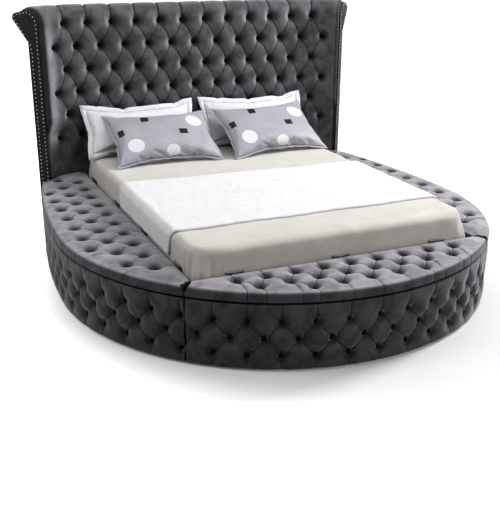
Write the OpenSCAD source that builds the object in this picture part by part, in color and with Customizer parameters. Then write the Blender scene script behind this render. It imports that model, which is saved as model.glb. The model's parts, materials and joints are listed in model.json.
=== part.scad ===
// A round platform bed: a queen mattress let into a round-fronted ring of three upholstered
// storage boxes with hinged lids, and a tall winged headboard with diamond tufting.
// The mattress's foot points to -Y, the headboard stands at +Y, and the floor is z = 0.

/* [Mattress] */
// Width of the mattress
mat_w = 1524; // [1400:1:1600]
// Length of the mattress
mat_l = 2032; // [1960:1:2100]
// Thickness of the mattress
mat_t = 276; // [200:1:320]
// Radius of the mattress's upright corners
mat_corner = 60; // [30:1:90]
// Radius of the mattress's top and bottom edges
mat_edge = 32; // [15:1:50]
// Height of the slats' top face over the floor
deck_z = 240; // [200:1:260]

/* [Platform] */
// Width of the ring of lids at the mattress's foot corners, where it is narrowest
corner_w = 72.5; // [60:0.5:110]
// Radius of the long, flat curves that run from the round end to the headboard
side_r = 4800; // [4000:10:7000]
// Distance from the middle of the round end to the mattress's foot end
foot_y = 806; // [780:1:820]
// Height of the boxes' walls, which the lids rest on
wall_top = 333.7; // [310:0.1:350]
// Thickness of the boxes' straight inner walls
wall_t = 18; // [12:0.5:24]
// Thickness of the bent plywood shell round the outside
shell_t = 12; // [6:0.5:18]
// Thickness of the tufted cover on the shell, over its crowns
cover_t = 30; // [24:0.5:40]
// Depth of the cover's buttons below its crowns
cover_deep = 17; // [8:0.5:22]
// Spacing of the cover's buttons along a row
cover_pitch = 158; // [140:1:180]
// Spacing of the cover's rows of buttons
cover_row = 82; // [70:1:90]
// Height of the cover's middle row of buttons
cover_mid_z = 156; // [140:1:170]
// Gap between the cover's lower edge and the floor
cover_lift = 8; // [4:0.5:20]
// Thickness of each box's floor panel
floor_t = 12; // [9:0.5:18]
// Height of the glides under the boxes
glide_h = 20; // [12:0.5:30]
// Radius of the glides
glide_r = 24; // [15:0.5:35]

/* [Lids] */
// Gap between the mattress's sides and the lids
mat_gap = 20; // [18:0.5:26]
// Thickness of the lids' boards
board_t = 15; // [12:0.5:18]
// Height of a lid from its board's underside to its inner edge's top
lid_h = 54; // [48:0.5:56]
// Height of the tufting's crowns over the lid's edges
lid_crown = 9; // [4:0.5:12]
// Depth of the lids' buttons below the crowns
lid_deep = 20; // [10:0.5:26]
// Thickness of the padding round a lid board's curved edge
skirt_t = 13; // [8:0.5:20]
// Radius of the lids' curved top edge
lid_edge = 16; // [8:0.5:24]
// Gap between two neighbouring lids along their mitre
mitre_gap = 6; // [3:0.5:12]
// How far the lids open, in degrees
lid_open = 50; // [40:1:55]
// Spacing of the side lids' buttons along a row
side_pitch = 176; // [160:1:190]
// Spacing of the side lids' rows of buttons
side_row = 111; // [100:1:116]
// Spacing of the foot lid's buttons along a row
foot_pitch = 148; // [135:1:160]
// Spacing of the foot lid's rows of buttons
foot_row = 94; // [86:1:98]

/* [Hinges] */
// Distance from the mattress's side to the hinge pins
pin_gap = 13; // [12:0.5:16]
// Radius of the hinge pins
pin_r = 2.5; // [2:0.1:3]
// Running clearance round the hinge pins
pin_fit = 0.08; // [0.04:0.01:0.1]
// Radius of the hinge knuckles
knuckle_r = 4.5; // [4:0.1:5]
// Length of a hinge along its pin
hinge_l = 90; // [70:1:120]
// Thickness of the hinge leaves
leaf_t = 2.5; // [1.5:0.1:2.5]

/* [Headboard] */
// Height of the headboard's crest over the floor
hb_h = 1428; // [1350:1:1500]
// Thickness of the headboard from its button plane to its back
hb_t = 76; // [70:1:90]
// Half of the headboard's straight run, between the wings' curves
hb_straight = 721; // [700:1:740]
// Radius of the wings' curves, at the button plane
wing_r = 444; // [430:1:470]
// Angle that the wings turn through
wing_turn = 45; // [40:1:50]
// How far the rolled top reaches behind the button plane
roll_reach = 176; // [150:1:190]
// Radius of the roll's outer lip
lip_r = 28; // [20:1:34]
// Width of the roll's rounded front shoulder
shoulder_w = 80; // [60:1:100]
// Height of the roll's rounded front shoulder
shoulder_h = 88; // [70:1:110]
// Spacing of the headboard's buttons along a row
hb_pitch = 157.5; // [145:0.5:170]
// Spacing of the headboard's rows of buttons
hb_row = 140; // [125:1:145]
// Depth of the headboard's buttons below the crowns
hb_deep = 32; // [15:1:36]
// Thickness of the upholstered bands on the wings' front ends
band_t = 6; // [3:0.5:10]
// Thickness of the headboard's plywood core
core_t = 18; // [12:0.5:22]
// Thickness of the headboard's back panel
back_t = 4; // [3:0.5:6]

/* [Slats] */
// Number of slats
slat_n = 13; // [9:1:16]
// Width of a slat
slat_w = 80; // [60:1:95]
// Thickness of a slat
slat_t = 20; // [15:0.5:24]
// Width of the side ledgers, the centre beam and the head rail
rail_t = 22; // [18:0.5:28]
// Height of the side ledgers
ledger_h = 34; // [25:1:50]
// Height of the centre beam and the head rail
beam_h = 80; // [60:1:100]
// Side of the centre beam's square legs
leg_w = 50; // [35:1:60]
// Radius of the bolts that hold the headboard to the head rail
bolt_r = 4; // [3:0.1:5]

/* [Bedding] */
// Width of the two printed pillows
pillow_w = 660; // [600:1:700]
// Height of the two printed pillows
pillow_h = 430; // [400:1:450]
// Thickness of the two printed pillows
pillow_t = 140; // [100:1:150]
// Width of the two shams behind them
sham_w = 730; // [680:1:745]
// Height of the two shams
sham_h = 370; // [340:1:380]
// Thickness of the two shams
sham_t = 130; // [100:1:140]
// Thickness of the folded throw
throw_t = 8; // [4:0.5:9]
// Width of the throw along the mattress
throw_w = 860; // [600:1:950]
// Distance from the mattress's foot end to the throw
throw_from = 306; // [250:1:350]

/* [Hidden] */

velvet = [0.42, 0.41, 0.44];
velvet_dark = [0.3, 0.29, 0.32];
ply = [0.76, 0.62, 0.43];
steel = [0.25, 0.25, 0.27];

// Gap at which one piece rests on another
seat = 0.3;
eps = 0.01;

// Places worked out from the sizes above
mat_x = mat_w / 2;
mat_top = deck_z + mat_t;
plat_r = norm([mat_x + mat_gap, foot_y + mat_gap]) + corner_w;
pin_x = mat_x + pin_gap;
pin_y = foot_y + pin_gap;
wall_x = pin_x - knuckle_r + 0.5;
wall_y = pin_y - knuckle_r + 0.5;
lid_x = mat_x + mat_gap;
lid_y = foot_y + mat_gap;
board_z = wall_top + seat;
pin_z = board_z + lid_h + 4;
hb_y = mat_l - foot_y + 2;
wing_cy = hb_y - wing_r;
wing_x = hb_straight + wing_r * sin(wing_turn);
wing_y = wing_cy + wing_r * cos(wing_turn);
rear_gap = 8;
lid_rear = wing_y - rear_gap - band_t;
box_rear = wing_y - band_t - 12;
tuft_top = hb_h - shoulder_h;
tuft_rows = 6;
tuft_foot = tuft_top - (tuft_rows - 0.5) * hb_row;
roll_hang = 100;
roll_foot = tuft_top - roll_hang;
back_y = hb_y + roll_reach;
shift_y = (plat_r - back_y) / 2;

// Point of the platform's outline, d inside it, at the distance p round from the foot's middle
function plat_at(p, d) =
    let (quarter = plat_r * PI / 2)
    p <= quarter
        ? let (a = p / plat_r * 180 / PI) [(plat_r - d) * sin(a), -(plat_r - d) * cos(a)]
        : let (b = (p - quarter) / side_r * 180 / PI)
          [plat_r - side_r + (side_r - d) * cos(b), (side_r - d) * sin(b)];

// Half width of the platform at y, d inside its outline
function plat_x(y, d) =
    y < 0 ? sqrt((plat_r - d) * (plat_r - d) - y * y)
          : plat_r - side_r + sqrt((side_r - d) * (side_r - d) - y * y);

// Point on the headboard, at the distance s along it and o behind its button plane
function hb_at(s, o) =
    let (a = max(abs(s) - hb_straight, 0) / wing_r * 180 / PI, k = sign(s))
    a == 0 ? [s, hb_y + o]
           : [k * (hb_straight + (wing_r + o) * sin(a)), wing_cy + (wing_r + o) * cos(a)];

// Furthest back that a lid may reach at x, clear of the headboard and its wings
function rear_at(x) =
    let (u = x - hb_straight, r = wing_r - rear_gap)
    u <= 0 ? hb_y - rear_gap
           : u < r * sin(wing_turn) ? wing_cy + sqrt(r * r - u * u) : lid_rear;

// Height of diamond tufting, from 0 at a button to 1 on a crown. The columns repeat at 1 in u,
// the rows lie at steps of 0.5 in v, and every other row is set half a column along.
function tuft(u, v) =
    let (a = abs(sin(180 * (u + v))), b = abs(sin(180 * (u - v))))
    0.65 * sqrt(a * b) + 0.35 * max(a, b);

// Points of an arc
function arc(c, r, a0, a1, n) =
    [for (i = [0:n]) let (a = a0 + (a1 - a0) * i / n) [c[0] + r * cos(a), c[1] + r * sin(a)]];

// The tuft lattice runs along one diagonal of every second cell, so the diagonals alternate
function cell(a, b, c, d, odd) = odd ? [[a, b, d], [b, c, d]] : [[a, b, c], [a, c, d]];

// Solid through a list of rings with equal counts of points. The rings run anticlockwise
// as seen along the way from the first to the last. A fan index closes bent end faces, and
// folded closes the ends of a thin, bent section, whose second half lies outside its first.
module loft(rings, odd = 0, fan = -1, folded = false) {
    n = len(rings[0]);
    m = len(rings);
    sides = [
        for (i = [0:m - 2], j = [0:n - 1])
            let (k = (j + 1) % n)
            each cell(i * n + j, i * n + k, (i + 1) * n + k, (i + 1) * n + j, (i + j + odd) % 2 == 1)
    ];
    ends = folded
        ? [for (j = [0:n / 2 - 2])
               let (a = j, b = j + 1, c = n - 2 - j, d = n - 1 - j, e = (m - 1) * n)
               each [[d, c, b, a], [e + a, e + b, e + c, e + d]]]
        : fan < 0
        ? [[for (j = [0:n - 1]) n - 1 - j], [for (j = [0:n - 1]) (m - 1) * n + j]]
        : [for (j = [1:n - 2])
               let (a = (fan + j) % n, b = (fan + j + 1) % n, e = (m - 1) * n)
               each [[fan, b, a], [e + fan, e + a, e + b]]];
    polyhedron([for (r = rings) each r], concat(sides, ends), convexity = 8);
}

// Places its children in the part's frame, whose origin is under the middle of the whole bed
module placed() translate([0, shift_y, 0]) children();

module both_sides() {
    children();
    mirror([1, 0, 0]) children();
}

// Bedding

// Rounded slab, with upright corners of radius c and long edges of radius e
module slab(w, y0, y1, z0, z1, c, e) {
    levels = concat(
        [for (a = [-90:30:0]) [e * (1 - cos(a)), z0 + e + e * sin(a)]],
        [for (a = [0:30:90]) [e * (1 - cos(a)), z1 - e + e * sin(a)]]
    );
    loft([for (l = levels)
        let (d = l[0], r = c - d * 0.5, x = w / 2 - d, f = y0 + d, b = y1 - d)
        [for (p = concat(
            arc([x - r, b - r], r, 90, 0, 4), arc([x - r, f + r], r, 0, -90, 4),
            arc([-x + r, f + r], r, -90, -180, 4), arc([-x + r, b - r], r, 180, 90, 4)))
            [p[0], p[1], l[1]]]]);
}

module mattress() color([0.78, 0.75, 0.71])
    placed() slab(mat_w, -foot_y, mat_l - foot_y, deck_z, mat_top, mat_corner, mat_edge);

// The throw lies over the mattress and hangs down both sides to the lids' level, with folds
module throw() {
    drop = pin_z + knuckle_r + 8;
    fall = mat_top - drop;
    x = mat_x + seat;
    e = mat_edge;
    z = mat_top + seat;
    n = 18;
    outline = concat(
        [[-x, drop]], arc([-x + e, z - e], e, 180, 90, 3), arc([x - e, z - e], e, 90, 0, 3), [[x, drop]]
    );
    function fold(i) = (0.5 + 0.5 * cos(i * 360 / 6)) * throw_t * 0.3;
    color([0.92, 0.92, 0.92]) placed()
        loft([for (i = [0:n])
            let (y = -foot_y + throw_from + throw_w * i / n, t = throw_t - fold(i))
            let (outer = concat(
                [[x + t, drop]], arc([x - e, z - e], e + t, 0, 90, 3),
                arc([-x + e, z - e], e + t, 90, 180, 3), [[-x - t, drop]]))
            [for (p = concat(outline, outer)) [p[0], y, p[1]]]], folded = true);
}

// Points of a cushion of width w and height h that stands on its long edge, in rings along it
function cushion_rings(w, h, t) =
    [for (u = concat([-1], [for (a = [-75:15:75]) sin(a)], [1]))
        let (x = u * w / 2, k = pow(1 - pow(abs(u), 4), 0.6), draw = 1 - 0.06 * (1 - u * u))
        [for (s = [1, -1], a = [90:-30:-60])
            let (v = s * sin(a) * (0.96 + 0.04 * abs(u)) * (u * u < 1 ? 1 : 0.98))
            let (half = max(t / 2 * k * pow(1 - pow(abs(sin(a)), 4), 0.6), 3))
            [x * (1 - 0.05 * (1 - v * v)), -s * half, v * h / 2 * draw]]];

// Turns a cushion back by lean and round by turn, and sets it down on the mattress at x, y
module cushion(w, h, t, lean, turn, x, y) {
    rings = cushion_rings(w, h, t);
    function leant(p) =
        let (a = p[1] * cos(lean) + p[2] * sin(lean), b = p[2] * cos(lean) - p[1] * sin(lean))
        [p[0] * cos(turn) - a * sin(turn), p[0] * sin(turn) + a * cos(turn), b];
    set = [for (r = rings) [for (p = r) leant(p)]];
    low = min([for (r = set) min([for (p = r) p[2]])]);
    placed() translate([x, y, mat_top + seat - low]) loft(set, fan = 0);
}

// The shams lean on the headboard and the printed pillows on the shams
sham_lean = 22;
sham_y = hb_y - hb_deep - sham_h * 0.26;
pillow_lean = 50;
pillow_y = sham_y - pillow_h * 0.57;
sham_x = sham_w * 0.54;
pillow_x = pillow_w * 0.55;
// How far the bedding lies off the bed's middle, as loose pillows do
stray = 30;

module sham_left() color([0.9, 0.9, 0.91])
    cushion(sham_w, sham_h, sham_t, sham_lean, 0, -sham_x - stray, sham_y);

module sham_right() color([0.9, 0.9, 0.91])
    cushion(sham_w, sham_h, sham_t, sham_lean, 0, sham_x - stray, sham_y);

module pillow_left() color([0.66, 0.67, 0.71])
    cushion(pillow_w, pillow_h, pillow_t, pillow_lean, -3, -pillow_x + stray / 3, pillow_y);

module pillow_right() color([0.66, 0.67, 0.71])
    cushion(pillow_w, pillow_h, pillow_t, pillow_lean, 3, pillow_x + stray / 3, pillow_y);

// Mattress support

slat_z = deck_z - slat_t;
bay_y0 = -wall_y;
bay_y1 = hb_y - seat - rail_t - seat;

module slats() {
    clear = slat_w / 4;
    step = (bay_y1 - bay_y0 - slat_w - 2 * clear) / (slat_n - 1);
    color(ply) placed() for (i = [0:slat_n - 1])
        translate([-wall_x + 3, bay_y0 + clear + i * step, slat_z]) cube([2 * wall_x - 6, slat_w, slat_t]);
}

module side_ledgers() color(ply) placed() both_sides()
    translate([wall_x - rail_t, bay_y0 + 2, slat_z - ledger_h])
        cube([rail_t, bay_y1 - bay_y0 - 2, ledger_h]);

module centre_beam() color(ply) placed()
    translate([-rail_t, bay_y0 + seat, slat_z - beam_h]) cube([2 * rail_t, bay_y1 - bay_y0 - seat, beam_h]);

module centre_legs() color(ply) placed() for (k = [1, 3, 5])
    translate([-leg_w / 2, bay_y0 + (bay_y1 - bay_y0) * k / 6 - leg_w / 2, 0])
        cube([leg_w, leg_w, slat_z - beam_h]);

// The head rail ends where the headboard starts to curve
rail_x = min(hb_straight, wall_x - seat);
bolt_xs = [-rail_x * 0.85, -rail_x * 0.3, rail_x * 0.3, rail_x * 0.85];
bolt_z = slat_z - beam_h / 2;

nut_r = 1.7 * bolt_r;
nut_o = hb_t - back_t + seat;

module bolt_holes(r) for (x = bolt_xs)
    translate([x, bay_y1, bolt_z]) rotate([-90, 0, 0]) cylinder(r = r + 0.4, h = 2 * hb_t, $fn = 32);

module head_rail() color(ply) placed() difference() {
    translate([-rail_x, hb_y - seat - rail_t, slat_z - beam_h]) cube([2 * rail_x, rail_t, beam_h]);
    bolt_holes(bolt_r);
}

// Each bolt passes the rail, the pad and the core, with its head on the rail. Its nut lies on
// the core's back, sunk in the back panel.
module rail_bolts() color(steel) placed() for (x = bolt_xs) translate([x, 0, bolt_z]) rotate([-90, 0, 0]) {
    translate([0, 0, hb_y - seat - rail_t - 5]) cylinder(r = 2 * bolt_r, h = 5, $fn = 32);
    translate([0, 0, hb_y - seat - rail_t - eps]) cylinder(r = bolt_r, h = rail_t + hb_t, $fn = 32);
    translate([0, 0, hb_y + nut_o]) cylinder(r = nut_r, h = back_t - 2 * seat, $fn = 32);
}

// Boxes

// Plan of the platform, d inside its outline
module plan(d) {
    intersection() {
        circle(r = plat_r - d, $fn = 200);
        translate([-2 * plat_r, -2 * plat_r]) square([4 * plat_r, 2 * plat_r + eps]);
    }
    intersection() {
        translate([plat_r - side_r, 0]) circle(r = side_r - d, $fn = 400);
        translate([side_r - plat_r, 0]) circle(r = side_r - d, $fn = 400);
        translate([-2 * plat_r, 0]) square([4 * plat_r, 2 * plat_r]);
    }
}

// Plan of the left sector outside x = -e and behind the mitre, g off the mitre line
module left_sector(e, g, rear) {
    k = g * sqrt(2);
    far = 800;
    polygon([
        [-e, pin_x - pin_y - e + k], [-pin_x - far, -pin_y - far + k], [-pin_x - far, rear], [-e, rear]
    ]);
}

// Plan of the foot sector outside y = -e and between the two mitres, g off the mitre lines
module foot_sector(e, g) {
    k = g * sqrt(2);
    far = 800;
    x = pin_x - pin_y + e - k;
    polygon([[-x, -e], [x, -e], [pin_x + far - k, -pin_y - far], [-pin_x - far + k, -pin_y - far]]);
}

box_gap = 0.2;
shell_out = cover_t + 0.8;
shell_in = shell_out + shell_t;
panel_in = shell_in + 0.8;
inner_rear = rear_at(wall_x + wall_t);

module side_inner_wall() color(ply) placed() translate([0, 0, glide_h]) linear_extrude(wall_top - glide_h)
    intersection() {
        left_sector(wall_x, box_gap, inner_rear);
        translate([-wall_x - wall_t, -2 * plat_r]) square([wall_t, 4 * plat_r]);
    }

module side_end_walls() color(ply) placed() translate([0, 0, glide_h]) linear_extrude(wall_top - glide_h)
    intersection() {
        plan(panel_in);
        difference() {
            left_sector(wall_x + wall_t + seat, box_gap, box_rear - 2);
            left_sector(wall_x, box_gap + wall_t, box_rear - 2 - wall_t);
        }
    }

module side_floor() color(ply) placed() translate([0, 0, glide_h]) linear_extrude(floor_t)
    intersection() {
        plan(panel_in);
        left_sector(wall_x + wall_t + seat, box_gap + wall_t + seat, box_rear - 2 - wall_t - seat);
    }

module side_shell() color(ply) placed() translate([0, 0, glide_h - 8]) linear_extrude(wall_top - glide_h + 8)
    intersection() {
        difference() {
            plan(shell_out);
            plan(shell_in);
        }
        left_sector(wall_x, box_gap + 1, box_rear);
    }

module foot_inner_wall() color(ply) placed() translate([0, 0, glide_h]) linear_extrude(wall_top - glide_h)
    intersection() {
        foot_sector(wall_y, box_gap);
        translate([-2 * plat_r, -wall_y - wall_t]) square([4 * plat_r, wall_t]);
    }

module foot_corner_posts() color(ply) placed() translate([0, 0, glide_h]) linear_extrude(wall_top - glide_h)
    intersection() {
        plan(panel_in);
        difference() {
            foot_sector(wall_y + wall_t + seat, box_gap);
            foot_sector(wall_y, box_gap + wall_t);
        }
    }

module foot_floor() color(ply) placed() translate([0, 0, glide_h]) linear_extrude(floor_t)
    intersection() {
        plan(panel_in);
        foot_sector(wall_y + wall_t + seat, box_gap + wall_t + seat);
    }

module foot_shell() color(ply) placed() translate([0, 0, glide_h - 8]) linear_extrude(wall_top - glide_h + 8)
    intersection() {
        difference() {
            plan(shell_out);
            plan(shell_in);
        }
        foot_sector(wall_y, box_gap + 1);
    }

// Distance round the outline to the mitre, and to the rear end of the covers
mitre_t = (sqrt(pow(pin_x + pin_y, 2) + 2 * (plat_r * plat_r - pin_x * pin_x - pin_y * pin_y))
    - pin_x - pin_y) / 2;
mitre_p = plat_r * atan2(pin_x + mitre_t, pin_y + mitre_t) * PI / 180;
rear_p = plat_r * PI / 2 + side_r * asin(box_rear / side_r) * PI / 180;
cover_top = wall_top - 3;

// Tufted cover from p0 to p1 round the outline. Its stations lie at half pitches, and its outer
// face has the three rows of buttons between straight pleats that run to both edges.
module cover(p0, p1) {
    half = cover_pitch / 2;
    first = ceil((p0 + 25) / half);
    last = floor((p1 - 25) / half);
    stations = concat([p0], [for (i = [first:last]) i * half], [p1]);
    function deep(p, v) = cover_deep * (1 - tuft(p / cover_pitch, v));
    function edge_deep(p) = 4 + 5 * (0.5 + 0.5 * cos(360 * p / cover_pitch));
    color(velvet) loft([for (p = stations)
        let (inner = plat_at(p, cover_t))
        let (outer = concat(
            [[edge_deep(p) + 5, cover_top], [edge_deep(p), cover_top - 12]],
            [for (j = [1:-1:-1]) [deep(p, (j + 1) / 2), cover_mid_z + j * cover_row]],
            [[edge_deep(p), cover_lift + 10], [edge_deep(p) + 5, cover_lift]]))
        concat(
            [[-inner[0], inner[1], cover_top]],
            [for (o = outer) let (q = plat_at(p, o[0])) [-q[0], q[1], o[1]]],
            [[-inner[0], inner[1], cover_lift]])], odd = abs(first) % 2);
}

module left_cover() placed() cover(mitre_p + 1.5, rear_p);

module right_cover() placed() mirror([1, 0, 0]) cover(mitre_p + 1.5, rear_p);

module foot_cover() placed() cover(-mitre_p + 1.5, mitre_p - 1.5);

module left_inner_wall() side_inner_wall();

module left_end_walls() side_end_walls();

module left_floor() side_floor();

module left_shell() side_shell();

module right_inner_wall() mirror([1, 0, 0]) side_inner_wall();

module right_end_walls() mirror([1, 0, 0]) side_end_walls();

module right_floor() mirror([1, 0, 0]) side_floor();

module right_shell() mirror([1, 0, 0]) side_shell();

// Glides under the floor panels of the three boxes
module glides() {
    inset = panel_in + glide_r + 20;
    inner = wall_t + glide_r + 20;
    along = foot_y * 0.62;
    rear = box_rear - wall_t - 3 * glide_r;
    color([0.15, 0.15, 0.15]) placed() {
        both_sides() for (y = [-along, 0, along, rear], x = [plat_x(y, inset), wall_x + inner])
            translate([x, y, 0]) cylinder(r = glide_r, h = glide_h, $fn = 48);
        for (a = [-30, 0, 30])
            translate([(plat_r - inset) * sin(a), -(plat_r - inset) * cos(a), 0])
                cylinder(r = glide_r, h = glide_h, $fn = 48);
        for (x = [-along, along])
            translate([x, -wall_y - inner, 0]) cylinder(r = glide_r, h = glide_h, $fn = 48);
    }
}

// Lids

lid_top = board_z + lid_h;
bevel_c = mitre_gap / 2 * sqrt(2);

// Height that a lid may have s outside its own hinge line and v past its neighbour's, so that
// two open neighbours never meet over the mitre
function bevel(s, v) = pin_z - (v + bevel_c - s * cos(lid_open)) / sin(lid_open);

// Plan of the space in front of the headboard, for the lids' rear ends
module before_headboard() {
    translate([-2 * plat_r, -2 * plat_r]) square([4 * plat_r, 2 * plat_r + lid_rear]);
    translate([-hb_straight, 0]) square([2 * hb_straight, hb_y - rear_gap]);
    both_sides() translate([hb_straight, wing_cy]) circle(r = wing_r - rear_gap, $fn = 160);
}

module left_lid_board() color(ply) placed() difference() {
    translate([0, 0, board_z]) linear_extrude(board_t) intersection() {
        plan(skirt_t + seat);
        left_sector(lid_x, mitre_gap / 2 + 3, hb_y);
        before_headboard();
    }
}

module right_lid_board() mirror([1, 0, 0]) left_lid_board();

module foot_lid_board() color(ply) placed() translate([0, 0, board_z]) linear_extrude(board_t)
    intersection() {
        plan(skirt_t + seat);
        foot_sector(lid_y, mitre_gap / 2 + 3);
    }

// Section of a lid's cushion: its top from the inner edge to the outline, down the curved face,
// then back under the board's edge and over the board. Rows that the outline cuts off are drawn
// close to the edge. It lists the distance from the inner edge and the height, and each point of
// the underside lies under one of the top, so that folded ends are upright.
function lid_section(width, rows, row, first_row, u, odd_row, skirt) =
    let (inset = lid_edge + 4, under = board_z + board_t + seat)
    let (top = concat(
        [[0, lid_top - 12], [7, lid_top - 2]],
        [for (j = [0:rows])
            let (want = first_row + j * row / 2, room = width - inset - (rows - j) * 2.5)
            let (v = (j - odd_row) / 4, cut = want > room)
            [min(want, room), lid_top + lid_crown - lid_deep * (cut ? 0.4 : 1 - tuft(u, v))]]))
    concat(
        top,
        [[width - lid_edge * 0.3, lid_top - lid_edge * 0.3], [width, lid_top - lid_edge],
         [width, board_z + 2], [width - skirt, board_z + 2], [width - skirt, under], [width - skirt - 2, under]],
        [for (j = [len(top) - 1:-1:0]) [top[j][0], under]]
    );

// Distance of the first row of buttons from the side lids' inner edge, and of the middle row's
// nearest button from the X axis
side_rows = 6;
side_first = 43.5;
side_tuft_y = 2;

// Padding left over the board's edge at the mitres, where the outline crosses them aslant
mitre_skirt = skirt_t * 0.6;

// Rings of the left cushion. The first follows the mitre and the last the headboard's curve,
// and no ring crosses them.
module left_lid_cushion() {
    step = side_pitch / 4;
    k = bevel_c;
    front = -pin_y - mitre_t;
    first = ceil((front + 14 - side_tuft_y) / step);
    last = floor((hb_y - rear_gap - 10 - side_tuft_y) / step);
    count = last - first + 1;
    color(velvet) placed() loft([for (i = [-1:count])
        let (y = i < 0 ? front : i == count ? hb_y : side_tuft_y + (first + i) * step)
        let (width = plat_x(min(max(y, front + 3), lid_rear), 0) - lid_x)
        let (u = (y - side_tuft_y) / side_pitch, skirt = i < 0 ? mitre_skirt : skirt_t)
        [for (q = lid_section(width, side_rows, side_row, side_first, u, 3, skirt))
            let (x = lid_x + q[0], s = x - pin_x)
            let (low = -pin_y - s + k + (i + 1) * 0.5, high = rear_at(x) - (count - i) * 0.5)
            let (py = min(max(y, low), high))
            [-x, py, min(q[1], bevel(s, -py - pin_y))]]],
        odd = abs(first + 1) % 2, folded = true);
}

module right_lid_cushion() mirror([1, 0, 0]) left_lid_cushion();

// Distance of the first row of buttons from the foot lid's inner edge
foot_rows = 5;
foot_first = 86;

module foot_lid_cushion() {
    step = foot_pitch / 4;
    k = bevel_c;
    end = pin_x + mitre_t;
    last = floor((end - 14) / step);
    color(velvet) placed() loft([for (i = [last + 1:-1:-last - 1])
        let (x = abs(i) > last ? sign(i) * end : i * step)
        let (width = sqrt(plat_r * plat_r - pow(min(abs(x), end - 3), 2)) - lid_y)
        let (u = x / foot_pitch, skirt = abs(i) > last ? mitre_skirt : skirt_t)
        [for (q = lid_section(width, foot_rows, foot_row, foot_first, u, 2, skirt))
            let (y = lid_y + q[0], s = y - pin_y)
            let (far = pin_x + s - k - (last + 1 - abs(i)) * 0.5)
            let (px = sign(x) * min(abs(x), far))
            [px, -y, min(q[1], bevel(s, abs(px) - pin_x))]]],
        odd = (last + 1) % 2, folded = true);
}

// Hinges

// Hinge on a pin along Y at the origin, with its wall side towards +X. The wall leaf has the
// two outer knuckles and the pin, and the lid leaf has the middle knuckle.
module wall_leaf() {
    outer = (hinge_l - hinge_l / 3) / 2 - seat;
    for (y = [-hinge_l / 2, hinge_l / 2 - outer]) {
        translate([0, y, 0]) rotate([-90, 0, 0]) cylinder(r = knuckle_r, h = outer, $fn = 48);
        translate([knuckle_r - 0.5, y, -20]) cube([leaf_t, outer, 20]);
    }
    rotate([-90, 0, 0]) cylinder(r = pin_r, h = hinge_l, center = true, $fn = 48);
    translate([knuckle_r - 0.5, -hinge_l / 2, -lid_h - 44]) cube([leaf_t, hinge_l, lid_h + 24 + eps]);
}

module lid_leaf() {
    middle = hinge_l / 3;
    depth = lid_x - pin_x;
    difference() {
        union() {
            rotate([-90, 0, 0]) cylinder(r = knuckle_r, h = middle, center = true, $fn = 48);
            translate([-depth, -middle / 2, -10]) cube([depth - knuckle_r + 1, middle, 10]);
            translate([-depth, -middle / 2, -lid_h - 2]) cube([leaf_t, middle, lid_h + 2]);
        }
        rotate([-90, 0, 0]) cylinder(r = pin_r + pin_fit, h = hinge_l, center = true, $fn = 48);
    }
}

side_hinges = [-620, -80, 460, 1000];
foot_hinges = [-560, 0, 560];

module left_hinge_leaves() color(steel) placed() for (y = side_hinges)
    translate([-pin_x, y, pin_z]) wall_leaf();

module left_lid_leaves() color(steel) placed() for (y = side_hinges)
    translate([-pin_x, y, pin_z]) lid_leaf();

module right_hinge_leaves() mirror([1, 0, 0]) left_hinge_leaves();

module right_lid_leaves() mirror([1, 0, 0]) left_lid_leaves();

module foot_hinge_leaves() color(steel) placed() for (x = foot_hinges)
    translate([x, -pin_y, pin_z]) rotate([0, 0, 90]) wall_leaf();

module foot_lid_leaves() color(steel) placed() for (x = foot_hinges)
    translate([x, -pin_y, pin_z]) rotate([0, 0, 90]) lid_leaf();

// Headboard

// Sweeps a section, drawn with the distance behind the button plane and the height, along the
// straight run and both wings. The band at each end takes the last of the wings' turn.
module along_headboard() {
    short = (band_t + seat) / wing_r * 180 / PI;
    turn = wing_turn - short;
    translate([-hb_straight, hb_y, 0]) rotate([90, 0, 90]) linear_extrude(2 * hb_straight) children();
    both_sides() translate([hb_straight, wing_cy, 0]) mirror([1, -1, 0])
        rotate_extrude(angle = turn, $fn = 160) translate([wing_r, 0]) children();
}

core_o = hb_t - back_t - core_t;

module headboard_core() color(ply) placed() difference() {
    along_headboard() translate([core_o, 0]) square([core_t, roll_foot - seat]);
    bolt_holes(bolt_r);
}

module headboard_lower_pad() color(velvet_dark) placed() difference() {
    along_headboard() translate([0, cover_lift]) square([core_o - seat, tuft_foot - cover_lift - seat]);
    bolt_holes(bolt_r);
}

module headboard_back() color(velvet_dark) placed() difference() {
    along_headboard() translate([hb_t - back_t + eps, cover_lift])
        square([back_t - eps, roll_foot - cover_lift - seat]);
    bolt_holes(nut_r);
}

// Outline of the roll from the foot of its shoulder over the crest, round the lip and under it,
// d inside the upholstery
function shoulder(d, n) =
    [for (i = [0:n]) let (a = 90 * i / n)
        [shoulder_w - (shoulder_w - d) * cos(a), tuft_top + (shoulder_h - d) * sin(a)]];

// How far the lip's top lies under the crest
lip_drop = 16;

function lip(n) = concat(
    arc([roll_reach - lip_r, hb_h - lip_r - lip_drop], lip_r, 78, -38, n), [[hb_t + 8, roll_foot + 12], [hb_t, roll_foot]]
);

pad_t = 14;

module headboard_roll() color(velvet) placed() along_headboard() polygon(concat(
    [[pad_t + seat, roll_foot]], shoulder(pad_t + seat, 6), [[shoulder_w + seat, hb_h]], lip(6)
));

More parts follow.
